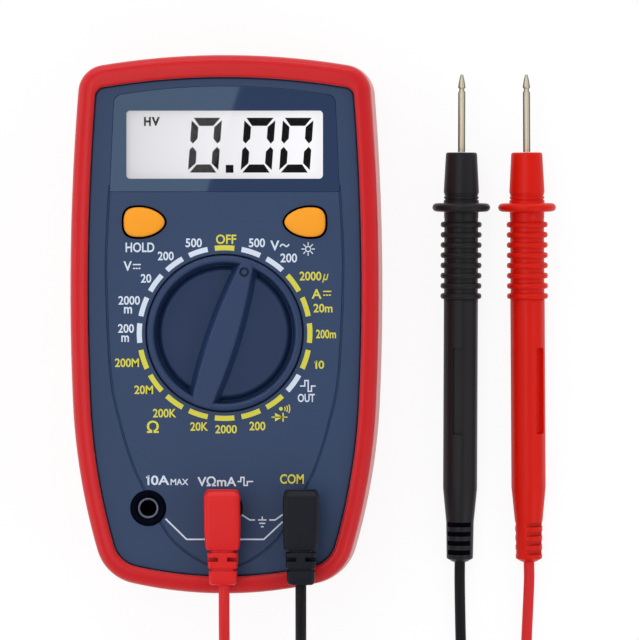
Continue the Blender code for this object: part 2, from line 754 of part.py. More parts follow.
def make_display():
    """Lens flush in the face, and the glass, frame, light and contact strip under it."""
    low = FACE_HEIGHT - LENS_THICKNESS
    finish("lcd_lens", prism(lens_outline(-CLEARANCE), low, FACE_HEIGHT), clear_plastic())
    half = WINDOW_HALF_WIDTH + GLASS_MARGIN
    top = WINDOW_TOP + GLASS_MARGIN
    strip = WINDOW_BOTTOM - GLASS_MARGIN
    bottom = strip - ZEBRA_WIDTH
    glass_top = FACE_UNDER - CLEARANCE
    glass_low = glass_top - GLASS_THICKNESS
    finish("lcd_glass", prism(rectangle(-half, half, bottom, top), glass_low, glass_top), display_glass())
    seat = BOARD_TOP + CLEARANCE
    under = glass_low - CLEARANCE
    light = rectangle(-half, half, strip + CLEARANCE, top)
    finish("backlight_panel", prism(light, seat, under), white_plastic())
    finish("zebra_strip", prism(rectangle(-half, half, bottom, strip), seat, under), black_plastic())
    loops = []
    wall = DISPLAY_FRAME_WALL
    for grow, height in ((0.0, seat), (wall, seat), (wall, glass_top), (0.0, glass_top)):
        reach = CLEARANCE + grow
        sides = rectangle(-half - reach, half + reach, bottom - reach, top + reach)
        loops.append(at_height(sides, height))
    finish("lcd_frame", loft(loops, ring=True), white_plastic())


def make_buttons():
    """Two push buttons, each over a dome on the board."""
    dome_top = BOARD_TOP + CLEARANCE + DOME_HEIGHT
    stem_low = dome_top + CLEARANCE
    flange_low = FLANGE_TOP - BUTTON_FLANGE_THICKNESS
    top = FACE_HEIGHT + BUTTON_RISE
    for name, sign in (("hold", -1.0), ("light", 1.0)):
        x = sign * BUTTON_PLACE_X
        origin = (x, BUTTON_PLACE_Y, top)
        loops = []
        for grow, height in ((BUTTON_FLANGE, flange_low), (BUTTON_FLANGE, FLANGE_TOP), (0.0, FLANGE_TOP),
                             (0.0, top - BUTTON_EDGE), (-BUTTON_EDGE, top - BUTTON_CROWN_RISE),
                             (-BUTTON_CROWN_INSET, top)):
            loops.append(at_height(button_outline(sign, grow), height))
        button = finish(f"{name}_button", loft(loops), orange_rubber(), origin)
        stem = cylinder(x, BUTTON_PLACE_Y, BUTTON_STEM_RADIUS, stem_low, flange_low + JOIN, ROUND_SMALL)
        combine(button, [tool(stem)], "UNION")
        base = BOARD_TOP + CLEARANCE
        profile = [(DOME_RADIUS, base), (DOME_SHOULDER_RADIUS, dome_top - DOME_SHOULDER_DROP)]
        profile.append((DOME_TOP_RADIUS, dome_top))
        finish(f"{name}_dome", turned(profile, x, BUTTON_PLACE_Y, ROUND_SMALL), steel())


def placed(mesh, matrix):
    bmesh.ops.transform(mesh, matrix=matrix, verts=mesh.verts[:])
    return mesh


def facing(direction, place):
    """Matrix that turns +Z to a direction and moves the origin to a place."""
    turn = Vector(direction).to_track_quat("Z", "Y").to_matrix().to_4x4()
    return Matrix.Translation(Vector(place)) @ turn


def curve_tube(name, points, radius, surface, fineness, origin=(0.0, 0.0, 0.0)):
    """Round tube with closed ends along a row of points."""
    data = bpy.data.curves.new(name, "CURVE")
    data.dimensions = "3D"
    data.bevel_depth = radius
    data.bevel_resolution = fineness
    data.use_fill_caps = True
    spline = data.splines.new("POLY")
    spline.points.add(len(points) - 1)
    for place, point in zip(spline.points, points):
        place.co = (*(Vector(point) - Vector(origin)), 1.0)
    data.materials.append(surface)
    made = bpy.data.objects.new(name, data)
    made.location = origin
    bpy.context.collection.objects.link(made)
    return made


def smooth_route(points, step):
    """Even points along one smooth curve through the route's own points."""
    rows = [Vector(point) for point in points]
    rows = [rows[0] * 2.0 - rows[1]] + rows + [rows[-1] * 2.0 - rows[-2]]
    dense = []
    for index in range(1, len(rows) - 2):
        before, start, end, after = rows[index - 1:index + 3]
        for part in range(16):
            share = part / 16.0
            bend = 2.0 * before - 5.0 * start + 4.0 * end - after
            twist = 3.0 * start - before - 3.0 * end + after
            place = 2.0 * start + (end - before) * share + bend * share ** 2 + twist * share ** 3
            dense.append(place * 0.5)
    dense.append(rows[-2])
    reach = [0.0]
    for first, second in zip(dense, dense[1:]):
        reach.append(reach[-1] + (second - first).length)
    count = max(2, round(reach[-1] / step))
    made = []
    index = 0
    for number in range(count + 1):
        goal = reach[-1] * number / count
        while index < len(reach) - 2 and reach[index + 1] < goal:
            index += 1
        span = reach[index + 1] - reach[index]
        made.append(dense[index].lerp(dense[index + 1], (goal - reach[index]) / span))
    return made


def route_length(points):
    return sum((second - first).length for first, second in zip(points, points[1:]))


def knob_axis():
    return (0.0, KNOB_PLACE_Y, FACE_HEIGHT)


def knob_spin(angle, height):
    """Frame that turns with the knob: local +Y lies along the pointer plus the angle."""
    return Matrix.Translation((0.0, KNOB_PLACE_Y, height)) @ Matrix.Rotation(KNOB_ANGLE + angle, 4, "Z")


def grip_outline():
    """Grip bar seen from the front: narrow pointer end, waistless middle, blunt tail."""
    reach = KNOB_RADIUS - KNOB_EDGE
    right = [(GRIP_TAIL_HALF, -reach), (GRIP_MIDDLE_HALF, GRIP_MIDDLE_LOW)]
    right += [(GRIP_MIDDLE_HALF, GRIP_MIDDLE_HIGH), (GRIP_POINTER_HALF, reach)]
    left = [(-x, y) for x, y in reversed(right)]
    return right + left


def make_knob():
    """Dished selector knob with a grip bar, a retaining flange and two detent pockets."""
    rim_top = FACE_HEIGHT + KNOB_RISE
    dish = rim_top - KNOB_DISH_DEPTH
    inner = KNOB_RADIUS - KNOB_RIM_WIDTH
    wide = KNOB_RADIUS + KNOB_FLANGE
    profile = [(inner - KNOB_DISH_SLOPE, dish), (inner, rim_top), (KNOB_RADIUS - KNOB_EDGE, rim_top)]
    profile += [(KNOB_RADIUS, rim_top - KNOB_EDGE), (KNOB_RADIUS, FLANGE_TOP)]
    profile += [(wide, FLANGE_TOP), (wide, FLANGE_LOW)]
    body = turned(profile, 0.0, KNOB_PLACE_Y, ROUND_LARGE)
    knob = finish("selector_knob", body, blue_plastic(), knob_axis())
    grip = placed(prism(grip_outline(), -JOIN, KNOB_DISH_DEPTH + GRIP_RISE), knob_spin(0.0, dish))
    combine(knob, [tool(grip)], "UNION")
    middle = (FLANGE_TOP + FLANGE_LOW) / 2.0
    ball_reach = DETENT_CREST - CLEARANCE - BALL_RADIUS
    spring_end = ball_reach - BALL_RADIUS - CLEARANCE
    pocket = spring_end - SPRING_LENGTH - CLEARANCE
    cuts = []
    for number, angle in enumerate((0.0, math.pi), start=1):
        spin = knob_spin(angle, middle)
        outward = spin.to_3x3() @ Vector((0.0, 1.0, 0.0))
        bore = cylinder(0.0, 0.0, BALL_RADIUS + CLEARANCE, pocket, wide + JOIN, ROUND_SMALL)
        cuts.append(tool(placed(bore, facing(outward, spin.translation))))
        ball = bmesh.new()
        bmesh.ops.create_icosphere(ball, subdivisions=2, radius=BALL_RADIUS)
        place = spin.translation + outward * ball_reach
        finish(f"detent_ball_{number}", placed(ball, Matrix.Translation(place)), steel(), knob_axis())
        make_spring(f"detent_spring_{number}", facing(outward, spin.translation), pocket + CLEARANCE)
    combine(knob, cuts, "DIFFERENCE")


def make_spring(name, frame, start):
    """Open wire helix along the local +Z of a frame, with straight ends."""
    per_turn = 8
    count = SPRING_TURNS * per_turn
    winding = SPRING_LENGTH - 4.0 * SPRING_WIRE
    points = [(SPRING_RADIUS, 0.0, start)]
    for step in range(count + 1):
        angle = 2.0 * math.pi * step / per_turn
        height = start + 2.0 * SPRING_WIRE + winding * step / count
        points.append((SPRING_RADIUS * math.cos(angle), SPRING_RADIUS * math.sin(angle), height))
    points.append((SPRING_RADIUS, 0.0, start + SPRING_LENGTH))
    world = [frame @ Vector(point) for point in points]
    curve_tube(name, world, SPRING_WIRE / 2.0, steel(), 1, knob_axis())


def make_wipers():
    """Three sprung contact bridges that the knob slides over the board."""
    low = BOARD_TOP + CLEARANCE
    high = FLANGE_LOW - CLEARANCE
    foot = WIPER_LENGTH / 2.0
    heel = foot - WIPER_FOOT
    crest = WIPER_LENGTH / 6.0
    rise = high - low
    under = [(-foot, 0.0), (-heel, 0.0), (-crest, rise - WIPER_SHEET), (crest, rise - WIPER_SHEET)]
    under += [(heel, 0.0), (foot, 0.0)]
    over = [(foot, WIPER_SHEET), (heel, WIPER_SHEET), (crest, rise), (-crest, rise)]
    over += [(-heel, WIPER_SHEET), (-foot, WIPER_SHEET)]
    upright = Matrix.Rotation(math.pi / 2.0, 4, "X")
    for number in range(3):
        spin = knob_spin(math.pi / 3.0 + 2.0 * math.pi * number / 3.0, low)
        shift = Matrix.Translation((0.0, WIPER_TRACK, 0.0))
        strip = prism(under + over, -WIPER_WIDTH / 2.0, WIPER_WIDTH / 2.0)
        finish(f"contact_wiper_{number + 1}", placed(strip, spin @ shift @ upright), copper(), knob_axis())


def make_jacks():
    """Metal jack tubes through the board, each in a plastic collar under the face."""
    for name, (x, y) in zip(("current", "volt", "common"), jack_places()):
        low = JACK_TOP - JACK_DEPTH
        finish(f"jack_{name}", tube(x, y, JACK_RADIUS, JACK_BORE, low, JACK_TOP, ROUND_MEDIUM), steel())
        inner = JACK_RADIUS + CLEARANCE
        low = COLLAR_TOP - COLLAR_DEPTH
        wide = COLLAR_RADIUS + COLLAR_FLANGE
        under = FLANGE_TOP - COLLAR_FLANGE_THICKNESS
        profile = [(inner, low), (COLLAR_RADIUS, low), (COLLAR_RADIUS, under), (wide, under)]
        profile += [(wide, FLANGE_TOP), (COLLAR_RADIUS, FLANGE_TOP)]
        profile += [(COLLAR_RADIUS, COLLAR_TOP), (inner, COLLAR_TOP)]
        finish(f"jack_collar_{name}", turned(profile, x, y, ROUND_MEDIUM, ring=True), black_plastic())


def make_battery():
    """Nine volt block on its door, with the snap on its end and two wires up to the board."""
    block = rounded(battery_outline(-CLEARANCE), BATTERY_EDGE, 2)
    top = BATTERY_LOW + BATTERY_HEIGHT
    finish("battery", prism(block, BATTERY_LOW, top), battery_jacket())
    near = BATTERY_LENGTH / 2.0
    far = near + SNAP_THICKNESS
    half = BATTERY_WIDTH / 2.0 - BATTERY_EDGE
    middle = (BATTERY_LOW + top) / 2.0
    ends = rectangle(near, far, BATTERY_PLACE_Y - half, BATTERY_PLACE_Y + half)
    snap_top = middle + SNAP_HEIGHT / 2.0
    finish("battery_snap", prism(ends, middle - SNAP_HEIGHT / 2.0, snap_top), black_plastic())
    x = (near + far) / 2.0
    start = snap_top + CLEARANCE
    end = BOARD_UNDER - CLEARANCE
    for name, side, surface in (("red", 1.0, red_rubber()), ("black", -1.0, black_plastic())):
        y = BATTERY_PLACE_Y + side * WIRE_SPREAD / 2.0
        points = [(x, y, start), (x, y + side * WIRE_BOW, (start + end) / 2.0), (x, y, end)]
        curve_tube(f"battery_wire_{name}", smooth_route(points, WIRE_RADIUS), WIRE_RADIUS, surface, 1)


def make_board_parts():
    """Fuse in its clips, main chip and shunt under the board, and the buzzer disc on the back."""
    under = BOARD_UNDER - CLEARANCE
    axis = under - FUSE_CLIP_SHEET - CLEARANCE - FUSE_RADIUS
    sideways = facing((1.0, 0.0, 0.0), (0.0, FUSE_PLACE_Y, axis))
    half = FUSE_LENGTH / 2.0
    body = turned([(FUSE_RADIUS, -half), (FUSE_RADIUS, half)], 0.0, 0.0, ROUND_SMALL)
    finish("fuse", placed(body, sideways), fuse_glass())
    inner = FUSE_RADIUS + CLEARANCE
    outer = inner + FUSE_CLIP_SHEET
    tongue = axis - FUSE_RADIUS / 2.0
    for number, sign in enumerate((-1.0, 1.0), start=1):
        left = sign * FUSE_CLIP_PITCH / 2.0 - FUSE_CLIP_LENGTH / 2.0
        loops = []
        for x in (left, left + FUSE_CLIP_LENGTH):
            corners = [(-outer, tongue), (-inner, tongue), (-inner, axis + inner), (inner, axis + inner)]
            corners += [(inner, tongue), (outer, tongue), (outer, under), (-outer, under)]
            loops.append([(x, FUSE_PLACE_Y + y, z) for y, z in corners])
        finish(f"fuse_clip_{number}", loft(loops), brass())
    side = CHIP_SIDE / 2.0
    chip = rectangle(-side, side, CHIP_PLACE_Y - side, CHIP_PLACE_Y + side)
    finish("main_chip", prism(chip, under - CHIP_THICKNESS, under), black_plastic())
    seat = BACK_WALL + CLEARANCE
    disc = cylinder(0.0, BUZZER_PLACE_Y, BUZZER_RADIUS, seat, seat + BUZZER_THICKNESS, ROUND_MEDIUM)
    finish("buzzer_disc", disc, brass())
    reach = SHUNT_SPAN / 2.0
    low = under - SHUNT_DROP
    half_way = under - SHUNT_DROP / 2.0
    points = [(-reach, under), (-reach, half_way), (SHUNT_BEND - reach, low), (0.0, low)]
    points += [(reach - SHUNT_BEND, low), (reach, half_way), (reach, under)]
    route = smooth_route([(x, SHUNT_PLACE_Y, z) for x, z in points], 3.0 * SHUNT_RADIUS)
    curve_tube("current_shunt", route, SHUNT_RADIUS, copper(), 1)


def make_plug(colour, x, surface):
    """Right-angle plug over the rim, with its barrel on the jack and a pin down the tube."""
    origin = (x, JACK_PLACE_Y, PLUG_AXIS)
    start = JACK_PLACE_Y + PLUG_NOSE
    bevelled = 1.0 - PLUG_BEVEL / (2.0 * PLUG_HALF_WIDTH)
    tail = PLUG_TAIL_HALF / PLUG_HALF_WIDTH
    loops = []
    for along, share in ((0.0, bevelled), (PLUG_BEVEL, 1.0), (PLUG_SHOULDER, 1.0), (PLUG_LENGTH, tail)):
        wide = PLUG_HALF_WIDTH * share
        high = PLUG_HALF_HEIGHT * share
        section = rounded(rectangle(-wide, wide, -high, high), PLUG_ROUND, 3)
        loops.append([(x + across, start - along, PLUG_AXIS + up) for across, up in section])
    plug = finish(f"{colour}_plug", loft(loops), surface, origin)
    low = COLLAR_TOP + CLEARANCE
    barrel = cylinder(x, JACK_PLACE_Y, PLUG_BARREL_RADIUS, low, PLUG_AXIS, ROUND_MEDIUM)
    combine(plug, [tool(barrel)], "UNION")
    top = low - CLEARANCE
    tip = top - PIN_LENGTH
    profile = [(PIN_RADIUS, top), (PIN_RADIUS, tip + PIN_POINT), (PIN_END_RADIUS, tip)]
    finish(f"{colour}_plug_pin", turned(profile, x, JACK_PLACE_Y, ROUND_SMALL), brass(), origin)


def probe_frame(x):
    """Local +Z runs from the needle point to the cord end, with the guard and handle on the floor."""
    height = GUARD_RADIUS + GUARD_START * math.sin(PROBE_SLOPE)
    direction = (0.0, -math.cos(PROBE_SLOPE), -math.sin(PROBE_SLOPE))
    return facing(direction, (x, PROBE_TIP_Y, height))


def make_probe(colour, x, surface):
    """Needle tip and a turned handle with a finger guard, ribs and a tapered tail."""
    frame = probe_frame(x)
    needle = [(PIN_TIP_END, 0.0), (PIN_TIP_RADIUS, PIN_TIP_POINT)]
    needle.append((PIN_TIP_RADIUS, PIN_TIP_LENGTH - CLEARANCE))
    finish(f"{colour}_probe_tip", placed(turned(needle, 0.0, 0.0, ROUND_SMALL), frame), steel())
    guard_end = GUARD_START + GUARD_WIDTH
    profile = [(NOSE_RADIUS, PIN_TIP_LENGTH), (BARREL_RADIUS, GUARD_START), (GUARD_RADIUS, GUARD_START)]
    profile += [(GUARD_RADIUS, guard_end), (BARREL_RADIUS, guard_end)]
    for number in range(RIB_COUNT):
        foot = guard_end + RIB_START + RIB_PITCH * number
        profile.append((HANDLE_RADIUS, foot))
        profile.append((RIB_RADIUS, foot + RIB_PITCH / 2.0))
    profile += [(HANDLE_RADIUS, HANDLE_START), (HANDLE_RADIUS, HANDLE_END)]
    profile += [(TAIL_SHOULDER_RADIUS, HANDLE_END + TAIL_TAPER), (TAIL_RADIUS, PROBE_LENGTH)]
    finish(f"{colour}_probe_handle", placed(turned(profile, 0.0, 0.0, ROUND_SMALL), frame), surface)


def coil_outer_radius(turns):
    return COIL_INNER_RADIUS + COIL_PITCH * turns


def coil_points(x, y, turns):
    """Two layers: spiral in on the floor, climb in the half turn of the reversal, spiral out on top.

    The loops run anticlockwise from the left of the coil to its right.
    """
    rate = COIL_PITCH / (2.0 * math.pi)
    inward = 2.0 * math.pi * turns
    total = 2.0 * inward + math.pi
    count = round(COIL_POINTS * total / (2.0 * math.pi))
    points = []
    for step in range(count + 1):
        turn = total * step / count
        offset = turn - total / 2.0
        if abs(offset) < math.pi / 2.0:
            radius = COIL_INNER_RADIUS - rate * math.cos(offset)
        else:
            radius = COIL_INNER_RADIUS + rate * (abs(offset) - math.pi / 2.0)
        climb = min(max(offset / math.pi + 0.5, 0.0), 1.0)
        height = CORD_FLOOR + COIL_LAYER * climb ** 2 * (3.0 - 2.0 * climb)
        angle = math.pi + turn
        points.append(Vector((x + radius * math.cos(angle), y + radius * math.sin(angle), height)))
    straight = Vector((0.0, 2.0 * CORD_RADIUS, 0.0))
    return [points[0] + straight] + points + [points[-1] + straight]


def print_least_gap(name, points):
    """Least space between turns, measured between points that are over half a turn apart."""
    skip = COIL_POINTS // 2
    least = min((points[first] - points[second]).length
                for first in range(len(points)) for second in range(first + skip, len(points)))
    print(f"{name}: least gap to itself {(least - 2.0 * CORD_RADIUS) * 1000.0:.2f} mm")


def make_tie(name, x, y, turns, side, surface):
    """Flat band round the bundle of turns, above (+1) or below (-1) the middle of the coil."""
    near = COIL_INNER_RADIUS - CORD_RADIUS - CLEARANCE
    far = coil_outer_radius(turns) + CORD_RADIUS + CLEARANCE
    low = TIE_SHEET
    high = CORD_FLOOR + COIL_LAYER + CORD_RADIUS + CLEARANCE
    half = TIE_WIDTH / 2.0
    loops = []
    for grow, across in ((0.0, -half), (TIE_SHEET, -half), (TIE_SHEET, half), (0.0, half)):
        band = rounded(rectangle(near - grow, far + grow, low - grow, high + grow), CORD_RADIUS + grow, 3)
        loops.append([(x + across, y + side * reach, height) for reach, height in band])
    finish(name, loft(loops, ring=True), surface)


def make_lead(colour, surface, first, turns, centre, second, tie_side):
    """One lead: plug to coil, coil with its tie, coil to probe."""
    x, y = centre
    loops = coil_points(x, y, turns)
    print_least_gap(f"{colour}_lead_coil", loops)
    gap = Vector((0.0, CLEARANCE, 0.0))
    straight = Vector((0.0, CLEARANCE + 3.0 * CORD_RADIUS, 0.0))
    to_coil = smooth_route(first + [loops[0] + straight, loops[0] + gap], CORD_STEP)
    to_probe = smooth_route([loops[-1] + gap, loops[-1] + straight] + second, CORD_STEP)
    curve_tube(f"{colour}_lead_to_coil", to_coil, CORD_RADIUS, surface, 2)
    curve_tube(f"{colour}_lead_coil", loops, CORD_RADIUS, surface, 1)
    curve_tube(f"{colour}_lead_to_probe", to_probe, CORD_RADIUS, surface, 2)
    make_tie(f"{colour}_lead_tie", x, y, turns, tie_side, black_plastic())
    length = route_length(to_coil) + route_length(loops) + route_length(to_probe)
    print(f"{colour} lead: {length:.3f} m of cord")


def cord_drop(x):
    """From the plug's tail out over the edge of the case and down to the floor."""
    start = PLUG_END - CLEARANCE
    points = [(x, start, PLUG_AXIS), (x, start - 0.0045, PLUG_AXIS), (x, -0.0725, 0.0358)]
    points += [(x, -0.0805, 0.0290), (x, -0.0875, 0.0180), (x, -0.0940, 0.0080)]
    return points


def cord_end(x):
    """Where a cord meets the tail of its probe, with the point before it."""
    frame = probe_frame(x)
    end = frame @ Vector((0.0, 0.0, PROBE_LENGTH + CLEARANCE))
    before = frame @ Vector((0.0, 0.0, PROBE_LENGTH + CLEARANCE + 4.0 * CORD_RADIUS))
    return [before, end]


def make_leads():
    black_x = JACK_PITCH
    black_centre = (black_x + coil_outer_radius(BLACK_COIL_TURNS), BLACK_COIL_Y)
    first = cord_drop(black_x) + [(black_x, -0.0990, 0.0034)]
    second = [(0.0577, -0.0970, 0.0044), (0.0573, -0.0880, 0.0025), (0.0570, -0.0760, 0.0015)]
    second += cord_end(PROBE_BLACK_X)
    make_lead("black", black_plastic(), first, BLACK_COIL_TURNS, black_centre, second, -1.0)
    red_x = 0.0
    red_centre = (red_x + coil_outer_radius(RED_COIL_TURNS), RED_COIL_Y)
    first = cord_drop(red_x) + [(red_x, -0.1000, 0.0030), (red_x, -0.1090, 0.0016)]
    first += [(red_x, -0.1250, 0.0014), (red_x, -0.1400, 0.0016)]
    second = [(0.0373, -0.1450, 0.0046), (0.0410, -0.1390, 0.0026), (0.0485, -0.1340, 0.0015)]
    second += [(0.0580, -0.1285, 0.0014), (0.0660, -0.1195, 0.0014), (0.0702, -0.1075, 0.0014)]
    second += [(0.0722, -0.0940, 0.0014), (0.0728, -0.0770, 0.0015)] + cord_end(PROBE_RED_X)
    make_lead("red", red_rubber(), first, RED_COIL_TURNS, red_centre, second, 1.0)
    make_plug("black", black_x, black_plastic())
    make_plug("red", red_x, red_rubber())
    make_probe("black", PROBE_BLACK_X, black_plastic())
    make_probe("red", PROBE_RED_X, red_rubber())


def build():
    clear_scene()
    make_holster()
    make_front_case()
    make_rear_case()
    make_battery_door()
    make_screws()
    make_circuit_board()
    make_display()
    make_buttons()
    make_knob()
    make_wipers()
    make_jacks()
    make_battery()
    make_board_parts()
    make_leads()


build()
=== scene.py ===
"""Looks of a hand-held multimeter: finishes, printed dial, display, plugs, probes and cords."""
import math

import bmesh
import bpy
from mathutils import Matrix, Vector
from mathutils.geometry import interpolate_bezier


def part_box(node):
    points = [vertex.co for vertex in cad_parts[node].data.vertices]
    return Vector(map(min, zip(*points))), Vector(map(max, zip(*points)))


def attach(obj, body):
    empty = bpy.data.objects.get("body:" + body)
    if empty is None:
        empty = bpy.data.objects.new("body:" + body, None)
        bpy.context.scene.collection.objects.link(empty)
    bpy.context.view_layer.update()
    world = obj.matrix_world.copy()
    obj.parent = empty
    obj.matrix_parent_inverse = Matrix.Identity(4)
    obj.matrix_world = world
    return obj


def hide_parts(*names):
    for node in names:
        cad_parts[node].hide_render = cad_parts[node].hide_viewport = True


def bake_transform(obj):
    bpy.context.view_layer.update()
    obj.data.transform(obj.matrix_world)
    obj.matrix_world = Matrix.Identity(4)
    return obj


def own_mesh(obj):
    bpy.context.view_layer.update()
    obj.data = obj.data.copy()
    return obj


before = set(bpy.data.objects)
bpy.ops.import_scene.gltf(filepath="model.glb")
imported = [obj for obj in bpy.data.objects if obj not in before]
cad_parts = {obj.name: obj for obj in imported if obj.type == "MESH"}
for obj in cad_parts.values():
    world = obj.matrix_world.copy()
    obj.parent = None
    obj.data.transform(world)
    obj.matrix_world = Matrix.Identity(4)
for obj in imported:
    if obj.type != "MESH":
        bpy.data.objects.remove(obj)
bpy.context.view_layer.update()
scene = bpy.context.scene

# Places and sizes are in metres. Profiles, rows and printed marks are in millimetres.
MM = 0.001

# Sizes shared with the CAD model
CASE_WIDTH = 0.0754
CASE_LENGTH = 0.1300
TOP_ARC_RADIUS = 0.179
SIDE_ARC_RADIUS = 0.600
SIDE_ARC_PLACE = 0.0083
LOWER_SIDE_RADIUS = 0.152
LOWER_SIDE_DROP = 0.0268
BOTTOM_ARC_RADIUS = 0.0995
TOP_CORNER_RADIUS = 0.0077
BOTTOM_CORNER_RADIUS = 0.0123
LEAST_CORNER_RADIUS = 0.0008
FACE = 0.0312
FACE_UNDER = 0.0290
FACE_TOP_DROP = 0.0012
RIM_TOP = 0.0328
WINDOW_HALF = 0.0233
WINDOW_LOW = 0.0345
WINDOW_HIGH = 0.05065
BUTTON_X = 0.01905
STEM_Y = 0.0244
KNOB_Y = -0.0021
KNOB_ANGLE = math.radians(-18.0)
KNOB_HOLE = 0.01875
JACK_X = 0.0181
JACK_Y = -0.0436
JACK_HOLE = 0.00425
DOOR_SCREW_Y = -0.03825
PLUG_AXIS = 0.0373
PLUG_START = -0.0390
PLUG_LENGTH = 0.0224
PROBE_X = {"black": 0.0568, "red": 0.0727}
PROBE_TIP_Y = 0.0603
GUARD_START = 0.0311
GUARD_RADIUS = 0.0070
HANDLE_END = 0.10003
HANDLE_END_RADIUS = 0.0040
PROBE_LENGTH = 0.11753
PROBE_SLOPE = math.asin((GUARD_RADIUS - HANDLE_END_RADIUS) / (HANDLE_END - GUARD_START))
CORD_RADIUS = 0.0013
CORD_FLOOR = 0.0021
COIL_PITCH = 0.0031
COIL_LAYER = 0.0031
COIL_INNER = 0.0090

# Where the photographed pieces lie a little off the CAD model
PROBE_LEAN = {"black": -0.0030, "red": 0.0072}
LEAN_PIVOT = 0.032
PLUG_LEAN = {"black": 0.0, "red": -0.0005}
BUTTON_Y = 0.0242


def linear(value):
    share = value / 255.0
    if share <= 0.04045:
        return share / 12.92
    return ((share + 0.055) / 1.055) ** 2.4


def colour(red, green, blue):
    """Shader colour of a screen colour given in 255ths."""
    return (linear(red), linear(green), linear(blue), 1.0)


# Shapes

CURVE_POINTS = 17

def loft(loops, ring=False):
    """Skin a row of loops with equal counts, closed by caps or joined end to end as a ring."""
    mesh = bmesh.new()
    rows = [[mesh.verts.new(point) for point in loop] for loop in loops]
    following = rows[1:] + rows[:1] if ring else rows[1:]
    for here, there in zip(rows, following):
        for index in range(len(here)):
            after = (index + 1) % len(here)
            mesh.faces.new((here[index], here[after], there[after], there[index]))
    if not ring:
        mesh.faces.new(rows[0])
        mesh.faces.new(rows[-1])
    return mesh


def at_height(outline, height):
    return [(x, y, height) for x, y in outline]


def prism(outline, low, high):
    return loft([at_height(outline, low), at_height(outline, high)])


def stacked(outline, rows):
    """Solid through an outline that is grown at each height, from (grow, height) rows."""
    return loft([at_height(outline(grow * MM), height * MM) for grow, height in rows])


def arc(centre, radius, start, end, steps):
    """Points of an arc, with both its ends."""
    made = []
    for step in range(steps + 1):
        angle = start + (end - start) * step / steps
        made.append((centre[0] + radius * math.cos(angle), centre[1] + radius * math.sin(angle)))
    return made


def circle(x, y, radius, count):
    return arc((x, y), radius, 0.0, 2.0 * math.pi, count)[:-1]


def quarter(radius, steps):
    """(inset, drop) pairs of a rounded edge, from the wall to the top."""
    return arc((radius, radius), radius, math.pi, 1.5 * math.pi, steps)


def turned(profile, x, y, count, ring=False):
    """Solid of revolution about an upright axis, from (radius, height) pairs."""
    loops = [at_height(circle(x, y, radius * MM, count), height * MM) for radius, height in profile]
    return loft(loops, ring)


def rectangle(left, right, low, high):
    return [(left, low), (right, low), (right, high), (left, high)]


def box(left, right, near, far, low, high):
    return prism(rectangle(left, right, near, far), low, high)


def rounded(corners, radius, steps=6):
    """Round the corners of a convex outline, alike or each by its own radius."""
    radii = radius if isinstance(radius, tuple) else (radius,) * len(corners)
    made = []
    for index, corner in enumerate(corners):
        here = Vector(corner)
        before = (Vector(corners[index - 1]) - here).normalized()
        after = (Vector(corners[(index + 1) % len(corners)]) - here).normalized()
        half = before.angle(after) / 2.0
        centre = here + (before + after).normalized() * radii[index] / math.sin(half)
        start = here + before * radii[index] / math.tan(half) - centre
        bend = math.pi - 2.0 * half
        sign = 1.0 if before.x * after.y - before.y * after.x < 0.0 else -1.0
        for step in range(steps + 1):
            made.append(tuple(centre + Matrix.Rotation(sign * bend * step / steps, 2) @ start))
    return made


def heading(start, end):
    return math.atan2(end.y - start.y, end.x - start.x)


def corner_centre(first, first_radius, second, second_radius):
    """Right-hand crossing of two circles."""
    span = second - first
    along = (first_radius ** 2 - second_radius ** 2 + span.length ** 2) / (2.0 * span.length)
    across = math.sqrt(first_radius ** 2 - along ** 2)
    unit = span.normalized()
    middle = first + unit * along
    side = unit.orthogonal() * across
    return max(middle + side, middle - side, key=lambda point: point.x)


def case_outline(inset, top_drop=0.0):
    """Barrel-sided outline of the case, moved inwards by the inset, with its top end lowered by a drop."""
    top = Vector((0.0, CASE_LENGTH / 2.0 - TOP_ARC_RADIUS - top_drop))
    side = Vector((CASE_WIDTH / 2.0 - SIDE_ARC_RADIUS, SIDE_ARC_PLACE))
    side_turn = -math.asin(LOWER_SIDE_DROP / SIDE_ARC_RADIUS)
    to_lower = Vector((math.cos(side_turn), math.sin(side_turn)))
    lower_side = side + (SIDE_ARC_RADIUS - LOWER_SIDE_RADIUS) * to_lower
    bottom = Vector((0.0, BOTTOM_ARC_RADIUS - CASE_LENGTH / 2.0))
    top_radius = TOP_ARC_RADIUS - inset
    side_radius = SIDE_ARC_RADIUS - inset
    lower_radius = LOWER_SIDE_RADIUS - inset
    bottom_radius = BOTTOM_ARC_RADIUS - inset
    top_corner = max(TOP_CORNER_RADIUS - inset, LEAST_CORNER_RADIUS)
    bottom_corner = max(BOTTOM_CORNER_RADIUS - inset, LEAST_CORNER_RADIUS)
    upper = corner_centre(top, top_radius - top_corner, side, side_radius - top_corner)
    lower = corner_centre(bottom, bottom_radius - bottom_corner, lower_side, lower_radius - bottom_corner)
    top_end = heading(top, upper)
    side_start = heading(side, upper)
    side_end = heading(lower_side, lower)
    bottom_start = heading(bottom, lower)
    arcs = [
        (top, top_radius, math.pi / 2.0, top_end, 10), (upper, top_corner, top_end, side_start, 14),
        (side, side_radius, side_start, side_turn, 12), (lower_side, lower_radius, side_turn, side_end, 14),
        (lower, bottom_corner, side_end, bottom_start, 14),
        (bottom, bottom_radius, bottom_start, -math.pi / 2.0, 10),
    ]
    right = [point for row in arcs for point in arc(*row)[:-1]]
    left = [(-x, y) for x, y in reversed(right[1:])]
    return right + [(0.0, inset - CASE_LENGTH / 2.0)] + left


def case_loft(section, ring=False):
    """Skin of the case outline through (inset, height) rows, some with a top drop."""
    loops = []
    for row in section:
        inset, height, *drop = (value * MM for value in row)
        loops.append(at_height(case_outline(inset, *drop), height))
    return loft(loops, ring)


def placed(mesh, matrix):
    bmesh.ops.transform(mesh, matrix=matrix, verts=mesh.verts[:])
    return mesh


